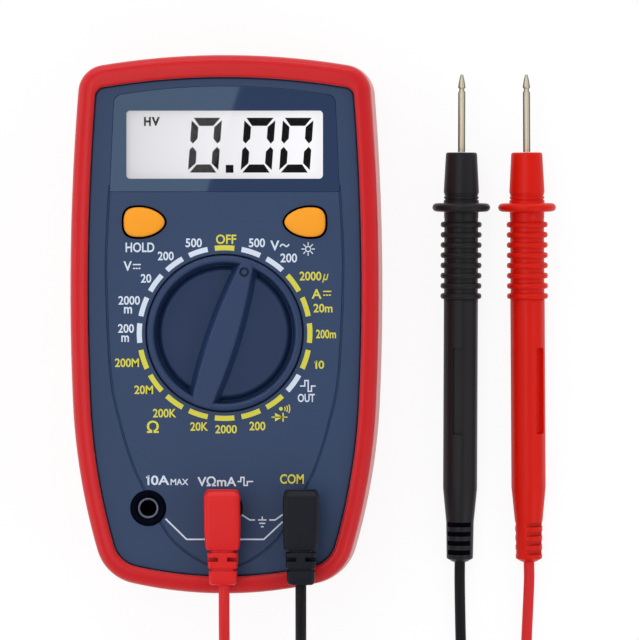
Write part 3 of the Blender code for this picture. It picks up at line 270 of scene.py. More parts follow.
def mesh_data(name, mesh):
    """Data of a finished shape, with its faces turned outwards."""
    bmesh.ops.recalc_face_normals(mesh, faces=mesh.faces[:])
    data = bpy.data.meshes.new(name)
    mesh.to_mesh(data)
    mesh.free()
    return data


def joined(meshes):
    """One mesh of several separate shapes."""
    base = bmesh.new()
    for mesh in meshes:
        data = mesh_data("join", mesh)
        base.from_mesh(data)
        bpy.data.meshes.remove(data)
    return base


def shade(data, smooth):
    """Smooth shading, sharp where faces meet at more than the given degrees."""
    data.shade_smooth()
    data.set_sharp_from_angle(angle=math.radians(smooth))


def into_object(name, mesh, material, smooth=40.0):
    data = mesh_data(name, mesh)
    data.materials.append(material)
    shade(data, smooth)
    made = bpy.data.objects.new(name, data)
    scene.collection.objects.link(made)
    return made


def baked(target):
    """New mesh of an object as its modifiers or its text show it."""
    bpy.context.view_layer.update()
    return bpy.data.meshes.new_from_object(target.evaluated_get(bpy.context.evaluated_depsgraph_get()))


def combine(target, meshes, operation, smooth=40.0):
    """Cut shapes from the target, or join them to it."""
    for mesh in meshes:
        tool = into_object("tool", mesh, target.data.materials[0])
        step = target.modifiers.new("shape", "BOOLEAN")
        step.operation = operation
        step.solver = "EXACT"
        step.object = tool
        data = baked(target)
        target.modifiers.clear()
        old = target.data
        target.data = data
        bpy.data.meshes.remove(old)
        bpy.data.objects.remove(tool, do_unlink=True)
    shade(target.data, smooth)


def flat_normals(target):
    """Keep broad flat faces flat where they run into a rounded edge."""
    step = target.modifiers.new("normals", "WEIGHTED_NORMAL")
    step.keep_sharp = True
    step.weight = 80


def second_finish_or_paint(target, material, chosen):
    """Give another material to the faces whose centres are chosen, used here for painted shade and for
    painted light.
    """
    target.data.materials.append(material)
    for face in target.data.polygons:
        if chosen(face.center):
            face.material_index = len(target.data.materials) - 1


def foot_place(node):
    """Middle of a solid's box, at its lowest height."""
    low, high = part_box(node)
    return ((low.x + high.x) / 2.0, (low.y + high.y) / 2.0, low.z)


def show(piece, body, *nodes, slot=None):
    """Hang a piece on a body, in place of the nodes it stands for."""
    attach(piece, body)
    if nodes:
        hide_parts(*nodes)
    return piece


def smooth_route(points, step):
    """Even points along one smooth curve through the route's own points."""
    rows = [Vector(point) for point in points]
    rows = [rows[0] * 2.0 - rows[1]] + rows + [rows[-1] * 2.0 - rows[-2]]
    dense = []
    for before, start, end, after in zip(rows, rows[1:], rows[2:], rows[3:]):
        first = start + (end - before) / 6.0
        second = end - (after - start) / 6.0
        dense += interpolate_bezier(start, first, second, end, CURVE_POINTS)[:-1]
    dense.append(rows[-2])
    reach = [0.0]
    for first, second in zip(dense, dense[1:]):
        reach.append(reach[-1] + (second - first).length)
    count = max(2, round(reach[-1] / step))
    made = []
    index = 0
    for number in range(count + 1):
        goal = reach[-1] * number / count
        while index < len(reach) - 2 and reach[index + 1] < goal:
            index += 1
        span = reach[index + 1] - reach[index]
        made.append(dense[index].lerp(dense[index + 1], (goal - reach[index]) / span))
    return made


def tube_along(points, radius, sides=16):
    """Round tube along points, carried without twist from one end to the other."""
    loops = []
    normal = None
    for index, point in enumerate(points):
        ahead = points[min(index + 1, len(points) - 1)]
        tangent = (ahead - points[max(index - 1, 0)]).normalized()
        if normal is None:
            normal = tangent.orthogonal()
        normal = (normal - tangent * normal.dot(tangent)).normalized()
        other = tangent.cross(normal)
        ring = circle(0.0, 0.0, radius, sides)
        loops.append([point + normal * across + other * up for across, up in ring])
    return loft(loops)


# Finishes

MOTTLE_SCALE = 90.0
SHEEN_ROUGHNESS = 0.35
GRAIN_HEIGHT = 0.00004


def add(tree, kind, sockets, **settings):
    """New shader node with its settings and the constants on its sockets."""
    made = tree.nodes.new(f"ShaderNode{kind}")
    for name, value in settings.items():
        setattr(made, name, value)
    for name, value in sockets.items():
        made.inputs[name].default_value = value
    return made


def link(source, output, target, socket):
    target.id_data.links.new(source.outputs[output], target.inputs[socket])


def follow(tree, coordinate, axis, limits):
    """Node whose value changes along one axis of a texture coordinate."""
    parts = add(tree, "SeparateXYZ", {})
    link(add(tree, "TexCoord", {}), coordinate, parts, "Vector")
    made = add(tree, "MapRange", limits)
    link(parts, axis, made, "Value")
    return made


def scaled(base, share):
    """Colour made lighter or darker by a share."""
    return tuple(min(1.0, value * share) for value in base[:3]) + (1.0,)


def surface(name, base, roughness, grain=2500.0, depth=0.25, mottle=0.06, metallic=0.0, specular=0.2,
            tint=(1.0, 1.0, 1.0, 1.0), sheen=0.0, uneven=0.07, alpha=1.0):
    """Moulded, painted or metal finish with a fine grain, faint mottling and uneven gloss."""
    made = bpy.data.materials.new(name)
    made.use_nodes = True
    tree = made.node_tree
    shader = tree.nodes["Principled BSDF"]
    constants = {"Metallic": metallic, "Specular IOR Level": specular, "Specular Tint": tint,
                 "Sheen Weight": sheen, "Sheen Roughness": SHEEN_ROUGHNESS, "Alpha": alpha}
    for socket, value in constants.items():
        shader.inputs[socket].default_value = value
    places = add(tree, "TexCoord", {})
    cloud = add(tree, "TexNoise", {"Scale": MOTTLE_SCALE, "Detail": 4.0})
    link(places, "Object", cloud, "Vector")
    tones = {"A": scaled(base, 1.0 - mottle), "B": scaled(base, 1.0 + mottle)}
    blend = add(tree, "Mix", tones, data_type="RGBA")
    link(cloud, "Fac", blend, "Factor")
    link(blend, "Result", shader, "Base Color")
    fine = add(tree, "TexNoise", {"Scale": grain, "Detail": 3.0})
    link(places, "Object", fine, "Vector")
    limits = {"To Min": max(0.0, roughness - uneven), "To Max": min(1.0, roughness + uneven)}
    gloss = add(tree, "MapRange", limits)
    link(fine, "Fac", gloss, "Value")
    link(gloss, "Result", shader, "Roughness")
    bump = add(tree, "Bump", {"Strength": depth, "Distance": GRAIN_HEIGHT})
    link(fine, "Fac", bump, "Height")
    link(bump, "Normal", shader, "Normal")
    return made


def paint_glow_rising_right(material, dim, bright):
    """Painted light: the display glows, dim at its left end and bright at its right end, in place of light
    falling on it.
    """
    tree = material.node_tree
    limits = {"From Min": -WINDOW_HALF, "From Max": WINDOW_HALF, "To Min": dim, "To Max": bright}
    link(follow(tree, "Object", "X", limits), "Result", tree.nodes["Principled BSDF"], "Emission Strength")


def paint_dark_flanks(material, dark, low, high):
    """Painted reflection: the rod's base colour darkens on its flanks, by the object-space normal, in place
    of dark surroundings mirrored there, and stays pale on its upward crest.
    """
    tree = material.node_tree
    shader = tree.nodes["Principled BSDF"]
    pale = shader.inputs["Base Color"].links[0].from_node
    mix = add(tree, "Mix", {"A": dark}, data_type="RGBA")
    link(pale, "Result", mix, "B")
    link(follow(tree, "Normal", "Z", {"From Min": low, "From Max": high}), "Result", mix, "Factor")
    link(mix, "Result", shader, "Base Color")


RED_RUBBER = surface("holster_rubber", colour(204, 28, 34), 0.34, 1800.0, 0.16, mottle=0.05, sheen=0.15)
BLUE = surface("case_blue", colour(50, 69, 102), 0.45, 3200.0, 0.3, mottle=0.05)
KNOB_BLUE = surface("knob_blue", colour(37, 56, 92), 0.42, 3200.0, mottle=0.05)
# Top faces of the knob: a glossier finish, and a lighter blue that is painted light.
KNOB_TOP_GLOSS_AND_LIGHT = surface("knob_top_gloss_and_painted_light", colour(46, 63, 98), 0.34, 3200.0, 0.15)
ORANGE = surface("button_rubber", colour(255, 164, 44), 0.5, 2400.0, 0.15, mottle=0.03, specular=0.1)
LENS_PRINT = surface("lens_print", colour(44, 60, 92), 0.02, 300.0, 0.0, mottle=0.04, specular=0.42,
                     tint=colour(205, 240, 255), uneven=0.01)
LENS_CLEAR = surface("lens_clear", colour(250, 250, 250), 0.02, 300.0, 0.0, metallic=1.0, alpha=0.011,
                     uneven=0.01)
LCD_PAINTED_GLOW = surface("lcd_face_painted_glow", colour(158, 156, 164), 0.3, 900.0, 0.03, mottle=0.015)
SEGMENT = surface("lcd_segment", colour(3, 3, 5), 0.4, specular=0.05)
WHITE_PRINT = surface("white_print", colour(217, 228, 244), 0.6, 4000.0, 0.1, mottle=0.05)
YELLOW_PRINT = surface("yellow_print", colour(219, 212, 77), 0.6, 4000.0, 0.1, mottle=0.05)
BLACK = surface("black_plastic", colour(34, 34, 37), 0.4, 2600.0, mottle=0.12, specular=0.15)
# Near-black of the jack collars, also used as painted shade on the button skirts and in the black tail's
# slots.
BLACK_COLLAR_AND_SHADE = surface("black_collar_and_painted_shade", colour(3, 6, 19), 0.5, 2600.0, 0.2, mottle=0.12, specular=0.02)
NICKEL = surface("jack_nickel", colour(104, 108, 126), 0.42, 5000.0, 0.08, mottle=0.05, metallic=1.0)
RED_PLASTIC = surface("probe_red", colour(217, 24, 9), 0.36, 2600.0, 0.15, specular=0.15)
RED_CORD = surface("cord_red", colour(217, 36, 39), 0.45, 1500.0, 0.2)
PLUG_RED = surface("plug_red", colour(218, 26, 28), 0.36, 2600.0, 0.2, mottle=0.05, specular=0.22)
PLUG_BLACK = surface("plug_black", colour(25, 27, 34), 0.42, 2600.0, mottle=0.12, specular=0.12)
BLACK_CORD = surface("cord_black", colour(19, 18, 23), 0.45, 1500.0, 0.2, mottle=0.12, specular=0.12)
STRAP = surface("tie_strap", colour(38, 38, 42), 0.6, 5000.0, 0.4, mottle=0.12)
STEEL = surface("steel", colour(205, 203, 198), 0.22, 5000.0, 0.08, mottle=0.05, metallic=1.0)
BRASS = surface("brass", colour(214, 190, 132), 0.25, 5000.0, 0.08, metallic=1.0)
NEEDLE_METAL_PAINTED_FLANKS = surface("needle_metal_painted_flanks", colour(212, 206, 183), 0.26, 5000.0, 0.01, mottle=0.03, metallic=0.25,
                    uneven=0.02)
COPPER = surface("copper", colour(214, 150, 110), 0.3, 5000.0, 0.08, metallic=1.0)
WHITE_PLASTIC = surface("white_plastic", colour(232, 232, 230), 0.5)
BOARD = surface("board_laminate", colour(38, 104, 58), 0.4, 1200.0, 0.15, mottle=0.15)
FUSE_GLASS = surface("fuse_glass", colour(214, 226, 226), 0.1, mottle=0.04)
BATTERY = surface("battery_jacket", colour(46, 48, 60), 0.35, mottle=0.1)
# Painted light: the display's glow stands in for light falling on it, brighter towards the right.
paint_glow_rising_right(LCD_PAINTED_GLOW, 0.376, 0.716)
# Painted reflection: the needles' flanks are coloured dark.
paint_dark_flanks(NEEDLE_METAL_PAINTED_FLANKS, colour(34, 32, 28), 0.56, 0.94)

CARRIED_FINISHES = [
    (BOARD, "circuit_board"), (LCD_PAINTED_GLOW, "lcd_glass"), (FUSE_GLASS, "fuse"), (BATTERY, "battery"),
    (RED_CORD, "battery_wire_red"), (BLACK_CORD, "battery_wire_black"),
    (BLACK, "main_chip", "zebra_strip", "battery_snap"), (WHITE_PLASTIC, "lcd_frame", "backlight_panel"),
    (BRASS, "fuse_clip_1", "fuse_clip_2", "buzzer_disc"),
    (COPPER, "current_shunt", "contact_wiper_1", "contact_wiper_2", "contact_wiper_3"),
    (STEEL, "detent_ball_1", "detent_ball_2", "detent_spring_1", "detent_spring_2"),
]
for finish, *node_names in CARRIED_FINISHES:
    for node_name in node_names:
        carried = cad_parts[node_name].data
        carried.materials.clear()
        carried.materials.append(finish)


# Camera straight above, world, floor and studio lights

WORLD_LIGHT = 0.58
FLOOR_GLOW = 1.035
GLOW_SHARE = 0.86
PAPER = (0.92, 0.92, 0.92, 1.0)
WHITE = (1.0, 1.0, 1.0, 1.0)

camera_data = bpy.data.cameras.new("camera")
camera_data.sensor_width = 36.0
camera_data.lens = 280.9
camera_data.clip_start = 0.05
camera_data.clip_end = 20.0
camera = bpy.data.objects.new("camera", camera_data)
camera.location = (0.0225, 0.0010, 1.215)
scene.collection.objects.link(camera)
scene.camera = camera
scene.render.resolution_x = 639
scene.render.resolution_y = 640
scene.view_settings.view_transform = "Standard"


def background_share(tree):
    """Node that gives 1 for rays that show the background: camera, mirror and see-through rays."""
    path = add(tree, "LightPath", {})
    share = add(tree, "Math", {}, operation="MAXIMUM")
    link(path, "Is Camera Ray", share, 0)
    link(path, "Is Glossy Ray", share, 1)
    most = add(tree, "Math", {}, operation="MAXIMUM")
    link(share, "Value", most, 0)
    link(path, "Is Transmission Ray", most, 1)
    return most


def mix_out(tree, share, first, second, output):
    """Send out two shaders, mixed by a share of the second."""
    mix = add(tree, "MixShader", {})
    link(share, "Value", mix, "Fac")
    link(first, 0, mix, 1)
    link(second, 0, mix, 2)
    link(mix, "Shader", add(tree, output, {}), "Surface")


def make_world():
    """White surroundings that darken overhead, where the lens and knob mirror them, and a softer light."""
    world = bpy.data.worlds.new("studio")
    scene.world = world
    world.use_nodes = True
    tree = world.node_tree
    tree.nodes.clear()
    fade = follow(tree, "Generated", "Z", {"From Min": 0.35, "From Max": 0.9, "To Min": 1.0, "To Max": 0.3})
    seen = add(tree, "Background", {"Color": WHITE})
    link(fade, "Result", seen, "Strength")
    light = add(tree, "Background", {"Color": WHITE, "Strength": WORLD_LIGHT})
    mix_out(tree, background_share(tree), light, seen, "OutputWorld")


def make_floor():
    """White table: bright to the camera, with the shadow of what lies on it."""
    made = bpy.data.materials.new("table")
    made.use_nodes = True
    tree = made.node_tree
    tree.nodes.clear()
    paper = add(tree, "BsdfDiffuse", {"Color": PAPER})
    glow = add(tree, "Emission", {"Strength": FLOOR_GLOW})
    share = add(tree, "Math", {1: GLOW_SHARE}, operation="MULTIPLY")
    link(background_share(tree), "Value", share, 0)
    mix_out(tree, share, paper, glow, "OutputMaterial")
    into_object("table_top", turned([(3000.0, -4.0), (3000.0, 0.0)], 0.0, 0.0, 96), made)


def softbox(name, place, turn, width, length, power):
    """Rectangular lamp, turned by degrees about the three axes."""
    data = bpy.data.lights.new(name, "AREA")
    data.shape = "RECTANGLE"
    data.size = width
    data.size_y = length
    data.energy = power
    made = bpy.data.objects.new(name, data)
    made.location = place
    made.rotation_euler = [math.radians(angle) for angle in turn]
    made.visible_camera = False
    scene.collection.objects.link(made)


make_world()
make_floor()
softbox("key", (-0.232, 0.142, 0.90), (0.0, 0.0, -17.3), width=0.45, length=1.0, power=2.8)
softbox("edge_left", (-0.75, 0.0, 0.14), (0.0, -80.0, 0.0), width=0.14, length=1.1, power=1.0)
softbox("edge_top", (0.0, 0.80, 0.14), (-80.0, 0.0, 0.0), width=1.1, length=0.14, power=2.0)
softbox("fill", (0.9, -0.5, 0.9), (0.0, 45.0, -30.0), width=0.6, length=0.6, power=2.1)


# Test leads: plugs, probes, cords and ties

DROP_TOP = 0.0358
DROP_FOOT = 0.0080
ROUTE_STEP = 0.0016
TIE_SLACK = 0.0003
TIE_FLOOR = 0.0005
FLOOR_GAP = 0.00002

# Millimetres on the profiles of the plug and the probe
PLUG_EDGE = 1.15
PLUG_LEAN_END = 40.0
PLUG_SLOT_BACK = 16.85
PLUG_SLOT_NEAR = 1.05
PLUG_SLOT_DEPTH = 0.4
RIB_COUNT = 8
RIB_START = 36.25
RIB_PITCH = 2.47
HANDLE_FLATS = 8
FLAT_START = 55.0
FLAT_END = 100.0
FLAT_DEPTH = 0.10
TAIL_CUT_START = 108.3
TAIL_CUT_PITCH = 2.25
TAIL_CUT_WIDTH = 1.15
TAIL_CUT_REACH = 1.7
# Painted shade in the black tail's slots: where it starts and ends along the probe, and its reach from the
# axis.
TAIL_SHADE_START = 108.1
TAIL_SHADE_END = 116.5
TAIL_SHADE_RADIUS = 2.9


def make_plug(tone, x, material, slot):
    """Right-angle plug: bevelled body, ribbed strain relief with side slots, barrel into the jack."""
    rows = [
        (0.00, 3.45, 2.5), (0.35, 3.80, 3.00), (1.30, 4.15, 3.92), (1.75, 4.24, 4.12), (9.00, 4.24, 4.17),
        (12.6, 4.10, 4.00), (13.7, 3.98, 3.90), (14.10, 3.75, 3.70), (14.25, 2.75, 3.00),
        (14.70, 2.75, 3.00), (14.80, 3.45, 3.60), (15.05, 3.62, 3.70), (18.30, 3.48, 3.55),
        (18.50, 3.30, 3.40), (18.60, 2.80, 2.90), (19.00, 2.80, 2.90), (19.10, 3.20, 3.30),
        (19.35, 3.36, 3.40), (21.60, 3.26, 3.30), (22.15, 3.05, 3.05), (22.40, 2.65, 2.65),
    ]
    lean = PLUG_LEAN[tone]
    loops = []
    for along, wide, high in rows:
        middle = x + lean * (1.0 - along / PLUG_LEAN_END)
        y = PLUG_START - along * MM
        section = rounded(rectangle(-wide, wide, -high, high), PLUG_EDGE)
        loops.append([(middle + across * MM, y, PLUG_AXIS + up * MM) for across, up in section])
    plug = into_object(f"{tone}_plug_body", loft(loops), material, 38.0)
    slots = []
    back = PLUG_START - PLUG_SLOT_BACK * MM
    for near, far in ((-6.0, -PLUG_SLOT_NEAR), (PLUG_SLOT_NEAR, 6.0)):
        left, right = (x + 0.6 * lean + reach * MM for reach in (near, far))
        low = PLUG_AXIS - PLUG_SLOT_DEPTH * MM
        slots.append(box(left, right, back, back + MM, low, PLUG_AXIS + 6.0 * MM))
    combine(plug, [joined(slots)], "DIFFERENCE", 38.0)
    barrel = turned([(3.5, 31.9), (3.7, 32.2), (3.7, PLUG_AXIS / MM)], x, JACK_Y, 48)
    combine(plug, [barrel], "UNION", 38.0)
    flat_normals(plug)
    show(plug, f"{tone}_plug", f"{tone}_plug", slot=slot)
    profile = [(1.85, 31.6), (1.85, 24.0), (1.7, 23.8), (1.7, 23.2), (1.85, 23.0), (1.85, 15.0)]
    profile += [(1.75, 14.2), (1.45, 13.5), (0.9, 13.1)]
    pin = into_object(f"{tone}_plug_contact", turned(profile, x, JACK_Y, 40), BRASS)
    show(pin, f"{tone}_plug", f"{tone}_plug_pin", slot="brass")
    return [plug, pin]


def probe_frame(tone):
    """Local +Z runs from the needle point to the cord end, with the guard and handle on the floor."""
    lean = PROBE_LEAN[tone]
    point = Vector((PROBE_X[tone] - LEAN_PIVOT * lean, PROBE_TIP_Y, 0.0))
    point.z = GUARD_RADIUS + GUARD_START * math.sin(PROBE_SLOPE)
    direction = Vector((lean, -math.cos(PROBE_SLOPE), -math.sin(PROBE_SLOPE)))
    return Matrix.Translation(point) @ direction.to_track_quat("Z", "Y").to_matrix().to_4x4()


def swelling(foot, middle, height, half, steps, blunt=1.0):
    """Half-round ring on a handle, from its foot radius and place to its height and half width."""
    made = []
    for step in range(steps + 1):
        angle = math.pi * step / steps
        made.append((foot + height * math.sin(angle) ** blunt, middle - half * math.cos(angle)))
    return made


def probe_profile():
    """(radius, distance from the needle point) of the handle."""
    made = [(3.0, 18.8), (3.54, 18.85), (3.71, 19.05), (3.79, 19.4), (4.26, 28.2), (4.26, 28.55)]
    made += [(4.12, 28.65), (4.12, 29.0), (3.98, 29.1), (3.98, 29.35), (4.2, 29.5), (4.2, 29.9)]
    made += [(3.98, 30.05), (3.98, 30.25), (4.26, 30.4), (4.26, 30.95), (4.4, 31.1), (6.0, 31.1)]
    made += swelling(6.0, 32.1, height=1.0, half=1.0, steps=8)
    made += [(4.4, 33.1), (4.17, 33.3), (4.17, 34.5), (4.08, 34.8)]
    for rib in range(RIB_COUNT):
        made += swelling(4.10, RIB_START + RIB_PITCH * rib, height=0.88, half=0.72, steps=6, blunt=0.6)
    made += [(4.17, 54.4), (4.17, 55.2), (4.17, 99.7), (4.1, 100.5), (3.42, 107.6), (3.34, 108.2)]
    made += [(3.2, 117.0), (3.1, 117.25), (1.8, 118.0)]
    return made


def handle_loops(roll):
    """Loops of the handle, whose grip has faint flats."""
    count = 72
    loops = []
    for radius, along in probe_profile():
        flat = FLAT_DEPTH if FLAT_START < along < FLAT_END else 0.0
        loop = []
        for step in range(count):
            angle = 2.0 * math.pi * step / count
            reach = radius - flat * (0.5 - 0.5 * math.cos(HANDLE_FLATS * (angle + roll)))
            loop.append((reach * math.sin(angle) * MM, reach * math.cos(angle) * MM, along * MM))
        loops.append(loop)
    return loops


def make_probe(tone, roll, material, slot):
    """Needle with a necked point, and the ribbed handle with a shallow panel and a slotted tail."""
    frame_here = probe_frame(tone)
    needle = [(0.22, 0.0), (0.34, 0.12), (0.66, 1.5), (0.88, 2.9), (0.88, 3.15), (0.62, 3.4), (0.60, 3.7)]
    needle += [(0.68, 4.0), (0.87, 4.3), (0.87, 18.7)]
    tip = into_object(f"{tone}_needle", placed(turned(needle, 0.0, 0.0, 40), frame_here), NEEDLE_METAL_PAINTED_FLANKS, 50.0)
    show(tip, "meter", f"{tone}_probe_tip", slot="steel")
    shape = placed(loft(handle_loops(roll)), frame_here)
    for vert in shape.verts:
        vert.co.z = max(vert.co.z, FLOOR_GAP)
    handle = into_object(f"{tone}_handle", shape, material, 35.0)
    turn = frame_here @ Matrix.Rotation(-roll, 4, "Z")
    outward = Matrix(((1, 0, 0, 0), (0, 0, 1, 0), (0, 1, 0, 0), (0, 0, 0, 1)))
    panel = rounded(rectangle(-1.35 * MM, 1.35 * MM, 66.0 * MM, 86.9 * MM), 0.5 * MM, 4)
    cuts = [placed(prism(panel, 2.9 * MM, 6.0 * MM), turn @ outward)]
    for number in range(4):
        low = (TAIL_CUT_START + TAIL_CUT_PITCH * number) * MM
        high = low + TAIL_CUT_WIDTH * MM
        for near, far in ((TAIL_CUT_REACH, 5.0), (-5.0, -TAIL_CUT_REACH)):
            cuts.append(placed(box(-4.0 * MM, 4.0 * MM, near * MM, far * MM, low, high), turn))
    combine(handle, [joined(cuts)], "DIFFERENCE", 35.0)
    # Painted shade: the floors of the black tail's slots take the near-black collar finish.
    if tone == "black":
        back = frame_here.inverted()

        def in_tail_slot_shade(centre):
            spot = back @ centre / MM
            inside = math.hypot(spot.x, spot.y) < TAIL_SHADE_RADIUS
            return inside and TAIL_SHADE_START < spot.z < TAIL_SHADE_END

        second_finish_or_paint(handle, BLACK_COLLAR_AND_SHADE, in_tail_slot_shade)
    show(handle, "meter", f"{tone}_probe_handle", slot=slot)
    return [handle, tip]


def coil_points(x, y, turns):
    """Two layers: spiral in on the floor, climb in the half turn of the reversal, spiral out on top."""
    rate = COIL_PITCH / (2.0 * math.pi)
    total = 4.0 * math.pi * turns + math.pi
    count = round(48 * total / (2.0 * math.pi))
    points = []
    for step in range(count + 1):
        turn = total * step / count
        offset = turn - total / 2.0
        if abs(offset) < math.pi / 2.0:
            radius = COIL_INNER - rate * math.cos(offset)
        else:
            radius = COIL_INNER + rate * (abs(offset) - math.pi / 2.0)
        climb = min(max(offset / math.pi + 0.5, 0.0), 1.0)
        height = CORD_FLOOR + COIL_LAYER * climb ** 2 * (3.0 - 2.0 * climb)
        angle = math.pi + turn
        points.append(Vector((x + radius * math.cos(angle), y + radius * math.sin(angle), height)))
    straight = Vector((0.0, 2.0 * CORD_RADIUS, 0.0))
    return [points[0] + straight] + points + [points[-1] + straight]


def cord_drop(x):
    """From inside the plug's tail out over the edge of the case and down to the floor."""
    end = PLUG_START - PLUG_LENGTH
    points = [(x, end + 0.0030, PLUG_AXIS), (x, end - 0.0003, PLUG_AXIS), (x, end - 0.0048, PLUG_AXIS)]
    points += [(x, -0.0725, DROP_TOP), (x, -0.0805, 0.0290), (x, -0.0875, 0.0180), (x, -0.0940, DROP_FOOT)]
    return points


def cord_end(tone):
    """Into the tail of the probe and on up its handle to the needle's foot."""
    frame_here = probe_frame(tone)
    steps = (PROBE_LENGTH + 0.0055, PROBE_LENGTH + 0.0003, 0.100, 0.080, 0.058)
    return [frame_here @ Vector((0.0, 0.0, along)) for along in steps]


def make_tie(name, x, y, turns, side):
    """Flat band with rounded edges round the bundle of turns."""
    near = COIL_INNER - CORD_RADIUS - TIE_SLACK
    far = COIL_INNER + COIL_PITCH * turns + CORD_RADIUS + TIE_SLACK
    high = CORD_FLOOR + COIL_LAYER + CORD_RADIUS + TIE_SLACK
    rows = [(0.0, -1.9), (0.12, -2.0), (0.38, -2.0), (0.5, -1.9)]
    rows += [(grow, -across) for grow, across in reversed(rows)]
    loops = []
    for grow, across in rows:
        grow = grow * MM
        band = rectangle(near - grow, far + grow, TIE_FLOOR - grow, high + grow)
        band = rounded(band, CORD_RADIUS + grow)
        loops.append([(x + across * MM, y + side * reach, height) for reach, height in band])
    tie = into_object(f"{name}_strap", loft(loops, ring=True), STRAP)
    return show(tie, "meter", f"{name}_lead_tie", slot="strap")


def make_lead(tone, x, turns, coil_y, first, second, tie_side, material, pieces):
    """One cord from plug to probe, with the length that isn't in use coiled and tied."""
    centre = x + COIL_INNER + COIL_PITCH * turns
    loops = coil_points(centre, coil_y, turns)
    straight = Vector((0.0, 3.0 * CORD_RADIUS, 0.0))
    path = smooth_route(cord_drop(x) + first + [loops[0] + straight, loops[0]], ROUTE_STEP)
    path += loops[1:-1]
    path += smooth_route([loops[-1], loops[-1] + straight] + second + cord_end(tone), ROUTE_STEP)
    cord = into_object(f"{tone}_cord", tube_along(path, CORD_RADIUS), material, 60.0)
    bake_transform(cord)
    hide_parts(f"{tone}_lead_to_coil", f"{tone}_lead_coil", f"{tone}_lead_to_probe")
    pieces = pieces + [make_tie(tone, centre, coil_y, turns, tie_side)]


def make_leads():
    """Both leads, whose cords follow listed points on the table."""
    pieces = make_plug("black", JACK_X, PLUG_BLACK, "black_handle")
    pieces += make_probe("black", math.radians(-9.0), BLACK, "black_handle")
    first = [(JACK_X, -0.0990, 0.0034)]
    second = [(0.0577, -0.0970, 0.0044), (0.0572, -0.0880, 0.0025), (0.0568, -0.0760, 0.0015)]
    make_lead("black", JACK_X, 3.5, -0.1100, first, second, -1.0, BLACK_CORD, pieces)
    pieces = make_plug("red", 0.0, PLUG_RED, "red_plastic")
    pieces += make_probe("red", math.radians(46.0), RED_PLASTIC, "red_plastic")
    first = [(0.0, -0.1000, 0.0030), (0.0, -0.1090, 0.0016), (0.0, -0.1250, 0.0014), (0.0, -0.1400, 0.0016)]
    second = [(0.0373, -0.1450, 0.0046), (0.0410, -0.1390, 0.0026), (0.0485, -0.1340, 0.0015)]
    second += [(0.0580, -0.1285, 0.0014), (0.0660, -0.1195, 0.0014), (0.0702, -0.1075, 0.0014)]
    second += [(0.0722, -0.0940, 0.0014), (0.0728, -0.0770, 0.0015)]
    make_lead("red", 0.0, 3.0, -0.1570, first, second, 1.0, RED_CORD, pieces)


# Holster and case

FACE_HEIGHT = FACE / MM
RIM_HEIGHT = RIM_TOP / MM
END_DROP = FACE_TOP_DROP / MM
LENS_HALF = 0.0273
LENS_LEAN = 0.00105
LENS_LOW = 0.03135
LENS_HIGH = 0.0546
LENS_CROWN = 0.0019
LENS_FOOT_CORNER = 0.0004
LENS_TOP_CORNER = 0.0022
WINDOW_CORNER = 0.0009
WINDOW_GAP = 0.00002
BUTTON_HALF_LENGTH = 0.00495
BUTTON_HALF_WIDTH = 0.0036
BUTTON_BLUNT_SHARE = 0.78
BUTTON_BLUNT_POWER = 2.85
BUTTON_SLIM_POWER = 1.82
BUTTON_GAP = 0.00039
GROOVE_RADIUS = 0.00034
GROOVE_DEPTH = 0.00012
GROOVE_STEP = 0.0012


def make_holster():
    """Rubber sleeve: rolled front rim with a crisp inner edge, drafted sides, lip under the back."""
    section = list(reversed(quarter(2.0, 6)))
    section += [(0.0, 9.0), (0.32, 15.0), (1.08, 29.4)]
    section += [(1.1 + inset, RIM_HEIGHT - drop) for inset, drop in quarter(3.0, 10)]
    edge = [(4.5, -0.02), (4.85, 0.06), (5.08, 0.24), (5.18, 0.5), (5.2, 2.2)]
    section += [(inset, RIM_HEIGHT - drop, END_DROP) for inset, drop in edge]
    section += [(2.2, RIM_HEIGHT - 2.2), (2.2, 2.0), (3.8, 2.0), (4.0, 1.8), (4.0, 0.15), (3.85, 0.0)]
    piece = into_object("holster_sleeve", case_loft(section, ring=True), RED_RUBBER, 50.0)
    flat_normals(piece)
    show(piece, "meter", "holster", slot="red_rubber")


def lens_outline(grow):
    """Display panel: straight bottom, slightly leaning sides and a crowned top."""
    wide = LENS_HALF + grow
    narrow = wide - LENS_LEAN
    low = LENS_LOW - grow
    high = LENS_HIGH + grow
    radii = (LENS_FOOT_CORNER, LENS_FOOT_CORNER, LENS_TOP_CORNER, LENS_TOP_CORNER)
    corners = rounded([(-wide, low), (wide, low), (narrow, high), (-narrow, high)], radii, 8)
    flat_half = narrow - LENS_TOP_CORNER
    split = len(corners) * 3 // 4
    crown = []
    for step in range(1, 24):
        share = 1.0 - step / 12.0
        crown.append((flat_half * share, high + LENS_CROWN * (1.0 - share ** 2)))
    return corners[:split] + crown + corners[split:]


def window_outline(inset):
    """Clear window of the display panel."""
    half = WINDOW_HALF - inset
    return rounded(rectangle(-half, half, WINDOW_LOW + inset, WINDOW_HIGH - inset), WINDOW_CORNER)


def button_outline(sign, grow, count=72):
    """Teardrop, blunt towards the case side and narrow towards the middle."""
    middle = BUTTON_X + (1.0 - BUTTON_BLUNT_SHARE) * BUTTON_HALF_LENGTH
    made = []
    for step in range(count):
        angle = 2.0 * math.pi * step / count
        outward = math.cos(angle) > 0.0
        power = 2.0 / (BUTTON_BLUNT_POWER if outward else BUTTON_SLIM_POWER)
        share = BUTTON_BLUNT_SHARE if outward else 2.0 - BUTTON_BLUNT_SHARE
        along = math.copysign(abs(math.cos(angle)) ** power, math.cos(angle))
        across = math.copysign(abs(math.sin(angle)) ** power, math.sin(angle))
        x = middle + (BUTTON_HALF_LENGTH * share + grow) * along
        made.append((sign * x, BUTTON_Y + (BUTTON_HALF_WIDTH + grow) * across))
    return made


